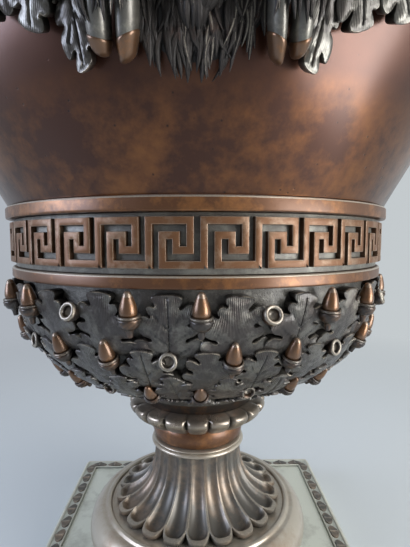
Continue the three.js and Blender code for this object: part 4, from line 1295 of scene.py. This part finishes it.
class KRATER_OT_skins(bpy.types.Operator):
    """The shaggy goat skins on the front and the back"""
    bl_idname = "krater.skins"
    bl_label = "Goat skins"

    def execute(self, context):
        wall = BodyWall()
        for turn, face in enumerate(FACES):
            self.skin(wall, math.pi * turn, face, np.random.default_rng(40 + turn))
        return {"FINISHED"}

    def shape(self, u, v):
        """Turn and height of a place on the skin, u across it and v down it."""
        tongue = 1 - 0.75 * np.abs(2 * u - 1) ** 2.2
        bottom = PELT_TOP - 80 * tongue
        waist = 25 - 8 * np.minimum(1, v * 1.6) + 1.2 * np.sin(v * 26) * np.abs(2 * u - 1)
        return (2 * u - 1) * np.radians(waist), PELT_TOP + (bottom - PELT_TOP) * v

    def skin(self, wall, face, name, random):
        wide, tall = 61, 41
        u, v = np.meshgrid(np.linspace(0.02, 0.98, wide), np.linspace(0, 0.97, tall), indexing="ij")
        angle, z = self.shape(u, v)
        edge = np.minimum(1, np.minimum.reduce([9 * u, 9 * (1 - u), 7 * (1 - v) + 0.1]))
        upper = wall.place(face + angle, z, 2.9 + 1.4 * edge)
        under = wall.place(face + angle, z, 1.5 + 0 * edge)
        points = np.stack([upper, under])
        size = u.size
        quads = grid_quads(wide, tall, False, False)
        # The grid's border, once round, closes the sheet between its upper and its under side.
        spot = np.arange(size).reshape(wide, tall)
        rim = np.concatenate([spot[:, 0], spot[-1, 1:], spot[-2::-1, -1], spot[0, -2:0:-1]])
        after = np.roll(rim, -1)
        walls = np.stack([rim, rim + size, after + size, after], -1)
        faces = np.vstack([quads[:, ::-1], quads + size, walls[:, ::-1]])
        # The sheet under the locks is marked near black as painted shade in the gaps between them.
        sheet = mesh_from("sheet", points, faces, marks=np.full(2 * size, -0.8))
        put(f"skin_{name}_hide", face_out(sheet), "hair", "dark_patina", ["pelt_" + name])

        parts = []
        for row in range(20):
            level = 1 - row / 19
            steps = int(42 + 14 * (1 - level))
            for k in range(steps):
                u = (k + 0.5 + 0.35 * random.uniform(-1, 1) + 0.5 * (row % 2)) / steps
                if not 0.02 < u < 0.98:
                    continue
                v = float(np.clip(level + 0.03 * random.normal(), 0.0, 1.0))
                long = 12 + 6 * random.uniform()
                angle, z = self.shape(u, v)
                foot = float(self.shape(u, 1.0)[1])
                z = foot + long - 3 + (PELT_TOP - foot - long + 3) * (1 - v)
                r = float(wall.radius(z))
                x = float(angle) * r
                drift = 0.2 * x / 40 + 0.14 * random.normal()

                def place(px, py, height):
                    return wall.place(face + px / r, py, height)

                # Painted highlights: the locks of two tufts that catch the light take pale ridges.
                lit_tuft = abs(u - 0.7) < 0.07 and 0.8 < v or abs(u - 0.14) < 0.09 and v < 0.75
                parts.append(hair_lock(
                    place, (x, float(z)), (x + drift * long, float(z) - long),
                    1.1 + 0.6 * random.uniform(), 1.4, (3.4, 4.4 + 1.4 * random.uniform()), random,
                    random.uniform(0.5, 1.0) if lit_tuft else None))
        put(f"skin_{name}_hair", merged(parts), "hair", "dark_patina", crease=60)


class KRATER_OT_hooves(bpy.types.Operator):
    """The cloven hooves that hang beside each skin, with hair above them"""
    bl_idname = "krater.hooves"
    bl_label = "Hooves"

    def execute(self, context):
        wall = BodyWall()
        # The left hoof hangs a little nearer the middle than the right one.
        for turn, face, hand, side in CORNERS:
            angle = math.pi * turn + side * math.radians(10.2 if side < 0 else 11.3)
            random = np.random.default_rng(60 + 2 * turn + side)
            self.hoof(wall, angle, side, f"{face}_{hand}", random)
        return {"FINISHED"}

    def hoof(self, wall, angle, side, name, random):
        def lift(z):
            """How far the leg stands out from the body."""
            return 8.6 + 5.9 * (np.maximum(z - 314, 0) / 58) ** 0.6

        def lean(z):
            """The leg's turn: it swings inward as it rises."""
            return angle - side * np.radians(2.4) * np.clip((z - 313) / 37, 0, 1.2)

        def ring(spread, z, half, depth, tilt=0.0):
            a = around(20)
            turn = lean(z) + (spread + half * np.cos(a)) / wall.radius(z)
            out = lift(z) + depth * squared(np.sin(a), 0.85)
            return wall.place(turn, z + tilt * np.cos(a), out)

        toes, tips = [], []
        half = 3.5 if side < 0 else 2.9
        for hand in (-1, 1):
            bottom = 316 if hand == -side else 318
            spread = (half + 0.75) * hand
            rings = [
                ring(spread * 0.6, 352, half - 1, 3.4), ring(spread * 0.8, 345, half - 0.5, 4.2),
                ring(spread, 336, half - 0.1, 4.8), ring(spread * 1.04, 329, half, 5.1, hand),
                ring(spread * 1.03, 322, half - 0.1, 4.9, hand),
                ring(spread * 0.98, bottom, half - 0.9, 3.8, hand)]
            toes.append(loft_part(
                rings, 5, lambda t: 0.5 * np.exp(-((t - 0.72) / 0.05) ** 2), (0.4, 0.5), 0))
            tips.append(loft_part([
                ring(spread * 1.03, 321.5, half - 0.9, 4.0, hand),
                ring(spread * 1.03, 320.6, half + 0.05, 5.0, hand),
                ring(spread * 0.99, bottom - 0.3, half - 0.8, 4.0, hand)], 6, 0.0, (0.1, 0.5)))
        put(f"hoof_{name}_toes", merged(toes), "hoof", "rubbed_patina", ["hoof_" + name], 50)
        put(f"hoof_{name}_tips", merged(tips), "nut", "rubbed_patina", crease=50)

        # The leg under the hair is marked dark as painted shade between the locks.
        leg = loft_part([
            ring(side * 3, 374, 6.6, 5.2), ring(side * 2, 364, 6.2, 5.6), ring(side, 354, 5.8, 5.8),
            ring(0, 345, 6.6, 5.8), ring(0, 339, 6.6, 5.4)], 4, -0.7)
        parts = [leg]

        def place(px, py, height):
            return wall.place(lean(py) + px / wall.radius(345), py, lift(py) + height)

        for row, (z, reach_x, count) in enumerate(
                ((337, 6.6, 11), (344, 6.8, 11), (352, 6.5, 10), (360, 6.4, 10), (368, 6.6, 10))):
            for k in range(count):
                x = (2 * (k + 0.5) / count - 1) * reach_x + 0.4 * random.normal()
                # Painted highlight: the hair on the inner side of the lower three rows takes pale
                # ridges.
                tone_and_highlight = random.uniform(0.4, 1.0) if x * side < -1 and row < 3 else None
                bulge = 5.2 * math.sqrt(max(0.05, 1 - (x / 7.8) ** 2))
                long = 9 + 4 * random.uniform()
                parts.append(hair_lock(
                    place, (x + side * 0.1 * row, z), (x * 1.12, z - long), 1.0, 1.2,
                    (bulge + 0.2, bulge + 1.0), random, tone_and_highlight))
        put(f"hoof_{name}_hair", merged(parts), "hair", "dark_patina", crease=60)


class KRATER_OT_branches(bpy.types.Operator):
    """The oak branches that spread from the masks round the sides"""
    bl_idname = "krater.branches"
    bl_label = "Oak branches"

    def execute(self, context):
        wall = BodyWall()
        for turn, face, hand, side in CORNERS:
            self.branch(wall, math.pi * turn, side, f"{face}_{hand}", 200 + 20 * turn + side)
        return {"FINISHED"}

    def branch(self, wall, face, side, name, seed):
        def stem(t):
            """The stem's turn and height at a share of its length."""
            angle = face + side * np.radians(19.5 + 64.5 * t)
            return angle, 352 + 31 * t + 9 * np.sin(t * np.pi)

        def ring(t):
            angle, z = stem(t)
            size = (3.2 - 1.1 * t) * (1 + 0.08 * np.sin(40 * t))
            a = around(12)
            return wall.place(angle, z + size * np.cos(a), size + 0.9 + size * np.sin(a))

        wood = loft_part([ring(t) for t in np.linspace(0, 1, 16)], 3, -0.1)
        parts = []
        # Each leaf by its turn and height at the root and at the tip, and half its width.
        leaves = [
            (16.6, 346, 14.5, 313, 8.5), (17.2, 356, 20.4, 325, 12.5), (21, 360, 27, 331, 12.5),
            (29, 357, 31, 392, 13), (37, 364, 45, 334, 14), (53, 374, 63, 344, 14),
            (61, 378, 68, 399, 12), (70, 382, 84, 374, 13)]
        for k, (root, z, tip, end, half) in enumerate(leaves):
            angle = face + side * math.radians(root)
            r = float(wall.radius(z))
            way = np.array([side * math.radians(tip - root) * r, end - z])
            long = float(np.hypot(*way))
            x, y, height, mark, flat, faces = oak_leaf(
                long, half, seed + k, sizes().leaf_rim / MM, base=-1.1, stand=4.6, curl=1.6)
            px, py = leaned(x, y, math.atan2(*way))
            height = height + np.where(height > -1.0, 3.5 * np.clip(y / long, 0, 1) ** 2, 0)
            parts.append((wall.place(angle + px / r, z + py, height), mark, flat, faces))
        put(f"branch_{name}_leaves", merged(parts), "sprig", "dark_patina",
            ["oak_branch_" + name])
        put(f"branch_{name}_wood", merged([wood]), "dark", "dark_patina")
        angle, z = stem(0.4)
        start = wall.place(angle, z, 6.0)
        end = wall.place(angle + side * math.radians(3), z + 9, 11.0)
        for kind in ("nut", "cup"):
            put(f"branch_{name}_{kind}", acorn_mesh(kind, 5.0, start, end), *acorn_look(kind))


class KRATER_OT_masks(bpy.types.Operator):
    """The goats' heads above the skins, with horns, ears and beards"""
    bl_idname = "krater.masks"
    bl_label = "Goat masks"

    def execute(self, context):
        wall = BodyWall()
        for turn, face in enumerate(FACES):
            self.mask(wall, math.pi * turn, face, np.random.default_rng(80 + turn))
        return {"FINISHED"}

    def mask(self, wall, face, name, random):
        a = around(28)

        def ring(z, out, half, depth, square=1.0):
            return wall.across(face, z, half * squared(np.cos(a), square),
                               out + depth * squared(np.sin(a), square))

        rings = [
            ring(397, 14, 9, 6), ring(393, 16.5, 14, 8.6), ring(386, 18.5, 15.2, 10.6, 0.9),
            ring(379, 19.5, 14.6, 11.2, 0.9), ring(371, 20.5, 11.6, 10.6, 0.9),
            ring(363, 21, 9.6, 9.8, 0.9), ring(355, 20.6, 9.2, 9.2, 0.85),
            ring(349, 19.6, 8.4, 8.2, 0.85), ring(345, 18, 6, 5.6)]
        head = loft_part(rings, 5, 0.0)
        parts = [head]
        for side in (-1, 1):
            for z, x, out, size in ((381, 12.0, 25.5, 3.5), (385.5, 11.4, 27.0, 2.6)):
                parts.append(self.ball(wall, face, z, side * x, out, size, z > 384))
            parts.append(self.ball(wall, face, 350.5, side * 3.4, 28.6, 1.5, True))
            ear = []
            for k, size in enumerate((3.0, 4.4, 5.0, 4.3, 1.4)):
                t = 0.75 * k
                middle = wall.place(face, 386 - 3 * t - 1.5 * t * t, 15 + 2 * t)
                x = side * (11 + 6.5 * t)
                b = around(16)
                along = np.array([math.cos(face), math.sin(face), 0])
                front = np.array([math.sin(face), -math.cos(face), 0])
                thin = size * (0.34 * np.cos(b) - 0.16 * np.sin(b) ** 2)
                ear.append(middle + x * along + thin[:, None] * front
                           + (size * np.sin(b))[:, None] * np.array([0, 0, 1.0]))
            parts.append(loft_part(ear, 4, 0.1))
        put(f"mask_{name}_head", merged(parts), "dark", "dark_patina",
            ["goat_head_" + name], 60)

        # The horns sweep sideways round the shoulder, with eleven ribs each.
        horns, ribs = [], 11
        for side in (-1, 1):
            line = []
            for t in np.linspace(0, 1, 60):
                sweep = math.radians(side * (3.4 + 16.6 * t ** 1.1))
                z = 401.5 + 8 * math.sin(t * math.pi * 0.9)
                r = 150 - 17 * math.sin(t * math.pi * 0.5)
                size = (5.4 - 4.1 * t) * (1 + 0.08 * math.sin(TAU * ribs * t) * (1 - 0.6 * t))
                b = around(18)
                line.append(polar(r + size * np.cos(b), face + sweep, z + size * np.sin(b)))
            horns.append(loft_part(
                line, 1, lambda t: 0.35 * np.sin(TAU * ribs * t) - 0.1, chased=0))
        put(f"mask_{name}_horns", merged(horns), "hoof", "rubbed_patina", crease=60)

        hair = []

        def place(px, py, height):
            return wall.across(face, py, px, height)

        for row in range(6):
            for k in range(7):
                x = (k - 3) * 2.5 + 0.5 * random.normal()
                z = 348 - 3.4 * row
                taper = 1 - 0.1 * row
                bulge = 3.4 * math.sqrt(max(0.04, 1 - (x / 10) ** 2))
                out = 11 - 0.4 * row + bulge
                hair.append(hair_lock(
                    place, (x * taper, z), (0.55 * x * taper + 1.2 * math.sin(row), z - 9.0),
                    1.6, 1.6, (out, out - 0.2), random))
        for side in (-1, 1):
            for row in range(4):
                for k in range(5):
                    z = 392 - 9 * row + 1.2 * random.normal()
                    half = (14.5, 15, 12.5, 10.2)[row]
                    out = 16.0 + 2.0 * k
                    hair.append(hair_lock(
                        place, (side * (half - 0.25 * k * k), z),
                        (side * (half - 1.5 - 0.35 * k * k), z - 10), 1.5, 1.3,
                        (out, out + 1.0), random))
            for k in range(5):
                x = side * (1.2 + 1.9 * k)
                hair.append(hair_lock(
                    place, (x, 398.0), (x * 1.15, 388.5), 1.4, 1.4,
                    (20.5 - 0.2 * k, 28.2 - 0.5 * k), random))
        put(f"mask_{name}_hair", merged(hair), "hair", "dark_patina", crease=60)

    @staticmethod
    def ball(wall, face, z, x, out, size, dark):
        """A small round form: an eye, a brow or a nostril."""
        rings = []
        middle = wall.across(face, z, np.array(x), out)
        b = around(14)
        for level in np.linspace(-0.92, 0.92, 7):
            width, up = math.sqrt(1 - level ** 2), level * (0.6 if dark else 0.85)
            rings.append(middle + size * np.stack([
                width * np.cos(b), width * np.sin(b), np.full(14, up)], -1))
        return loft_part(rings, 1, -0.5 if dark else 0.2, (0.1, 0.1))


# Stage

class KRATER_OT_stage(bpy.types.Operator):
    """The floor, the lights, the background and the camera"""
    bl_idname = "krater.stage"
    bl_label = "Stage"

    def execute(self, context):
        self.floor()
        self.world()
        self.lights()
        self.camera()
        return {"FINISHED"}

    @staticmethod
    def backdrop(tree, way):
        """The backdrop's colour in a direction: pale behind the object, paler on the right, and a
        darker room before it."""
        part = add_node(tree, "ShaderNodeSeparateXYZ", {0: way})
        across = ramp(tree, part.outputs["X"], -0.45, 0.45)
        behind = ramp(tree, part.outputs["Y"], -0.9, 0.0, interpolation_type="SMOOTHSTEP")
        c = colours()
        pale = blend(tree, across, tuple(c.shade), tuple(c.floor))
        return blend(tree, behind, tuple(c.room), pale)

    @staticmethod
    def seen(tree, rays):
        """1 where the camera or a reflection looks, and 0 where light is gathered."""
        return calc(tree, "MAXIMUM", rays["Is Camera Ray"], rays["Is Glossy Ray"])

    def floor(self):
        half = 6000
        points = [[-half, -half, 0], [half, -half, 0], [half, half, 0], [-half, half, 0]]
        floor = link("floor", mesh_from("floor", points, [[0, 1, 2, 3]]))
        material, tree = new_material("Pale floor")
        place = add_node(tree, "ShaderNodeTexCoord").outputs["Object"]
        far = add_node(tree, "ShaderNodeVectorMath", {0: place}, operation="LENGTH")
        way = add_node(tree, "ShaderNodeVectorMath", {0: place}, operation="NORMALIZE")
        matt = add_node(tree, "ShaderNodeBsdfDiffuse", {"Color": tuple(colours().floor)})
        plain = add_node(tree, "ShaderNodeEmission", {"Color": self.backdrop(tree, way.outputs[0])})
        # The floor runs into the backdrop between a quarter of a metre and 0.9 m from the object.
        fade = ramp(tree, far.outputs["Value"], 0.25, 0.9)
        shown = self.seen(tree, add_node(tree, "ShaderNodeLightPath").outputs)
        mixed = add_node(tree, "ShaderNodeMixShader", {
            0: calc(tree, "MULTIPLY", fade, shown), 1: matt.outputs[0], 2: plain.outputs[0]})
        add_node(tree, "ShaderNodeOutputMaterial", {"Surface": mixed.outputs[0]})
        floor.data.materials.append(material)

    def world(self):
        world = bpy.data.worlds.new("Studio")
        bpy.context.scene.world = world
        world.use_nodes = True
        tree = world.node_tree
        tree.nodes.clear()
        rays = add_node(tree, "ShaderNodeLightPath").outputs
        shown = calc(tree, "MAXIMUM", self.seen(tree, rays), rays["Is Transmission Ray"])
        way = add_node(tree, "ShaderNodeTexCoord").outputs["Generated"]
        backdrop = add_node(tree, "ShaderNodeBackground", {
            "Color": self.backdrop(tree, way), "Strength": 1.0})
        light = add_node(tree, "ShaderNodeBackground", {
            "Color": linear("#E8EDF2"), "Strength": 0.35})
        mixed = add_node(tree, "ShaderNodeMixShader", {
            0: shown, 1: light.outputs[0], 2: backdrop.outputs[0]})
        add_node(tree, "ShaderNodeOutputWorld", {"Surface": mixed.outputs[0]})

    def lights(self):
        bpy.context.scene.view_settings.view_transform = "Standard"
        # Each light's name, place, aim, width in metres, power and colour.
        for name, place, aim, size, power, tone in (
                ("Window right", (0.75, -0.6, 0.75), (0, 0, 0.25), 0.6, 6.5, "#FFFFFF"),
                ("Low window right", (0.62, -0.43, 0.16), (0.02, -0.1, 0.3), 0.4, 5.5, "#FFFFFF"),
                ("Low window left", (-0.78, -0.36, 0.4), (-0.02, -0.1, 0.3), 0.4, 3.2, "#D6E2FF"),
                ("Window left", (-0.95, -0.25, 0.5), (0, 0, 0.25), 0.6, 4.0, "#DDE8FF"),
                ("Ceiling", (0.0, 0.1, 1.3), (0, 0, 0.2), 1.2, 7.0, "#FFFFFF")):
            lamp = bpy.data.lights.new(name, "AREA")
            lamp.size, lamp.energy, lamp.color = size, power, linear(tone)[:3]
            holder = link(name, lamp)
            holder.location = place
            way = Vector(aim) - Vector(place)
            holder.rotation_euler = way.to_track_quat("-Z", "Y").to_euler()

    def camera(self):
        lens = bpy.data.cameras.new("Photo")
        # The lens and the place that the Greek key's perspective gives.
        lens.sensor_fit, lens.sensor_width, lens.lens = "HORIZONTAL", 36, 35.56
        lens.clip_start = 0.01
        holder = link("Photo", lens)
        holder.location = (0.0, -0.289, 0.252)
        holder.rotation_euler = (math.radians(90 - 4.716), 0, math.radians(-1.08))
        bpy.context.scene.camera = holder


class KRATER_PT_panel(bpy.types.Panel):
    """Lists the krater's pieces and sizes"""
    bl_idname = "KRATER_PT_panel"
    bl_label = "Krater"
    bl_space_type = "VIEW_3D"
    bl_region_type = "UI"
    bl_category = "Krater"

    def draw(self, context):
        for group in (context.scene.krater_sizes, context.scene.krater_colours):
            box = self.layout.box()
            for key in group.bl_rna.properties.keys():
                if key not in ("rna_type", "name"):
                    box.prop(group, key)
        for operator in OPERATORS:
            self.layout.operator(operator.bl_idname)


OPERATORS = [
    KRATER_OT_plinth, KRATER_OT_foot, KRATER_OT_calyx, KRATER_OT_frieze, KRATER_OT_body,
    KRATER_OT_skins, KRATER_OT_hooves, KRATER_OT_branches, KRATER_OT_masks, KRATER_OT_stage,
]
CLASSES = [KraterSizes, KraterColours, *OPERATORS, KRATER_PT_panel]


def register():
    for kind in CLASSES:
        bpy.utils.register_class(kind)
    bpy.types.Scene.krater_sizes = bpy.props.PointerProperty(type=KraterSizes)
    bpy.types.Scene.krater_colours = bpy.props.PointerProperty(type=KraterColours)


def unregister():
    del bpy.types.Scene.krater_colours
    del bpy.types.Scene.krater_sizes
    for kind in reversed(CLASSES):
        bpy.utils.unregister_class(kind)


def dress_carried_nodes():
    """The CAD nodes that stay as they are get their finish."""
    for name in ("tie_rod", "lower_washer", "lower_nut", "upper_washer", "upper_nut"):
        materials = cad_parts[name].data.materials
        materials.clear()
        materials.append(FINISHES["steel"])


def main():
    register()
    make_finishes()
    bpy.ops.krater.plinth()
    bpy.ops.krater.foot()
    bpy.ops.krater.calyx()
    bpy.ops.krater.frieze()
    bpy.ops.krater.body()
    bpy.ops.krater.skins()
    bpy.ops.krater.hooves()
    bpy.ops.krater.branches()
    bpy.ops.krater.masks()
    dress_carried_nodes()
    bpy.ops.krater.stage()


if __name__ == "__main__":
    main()
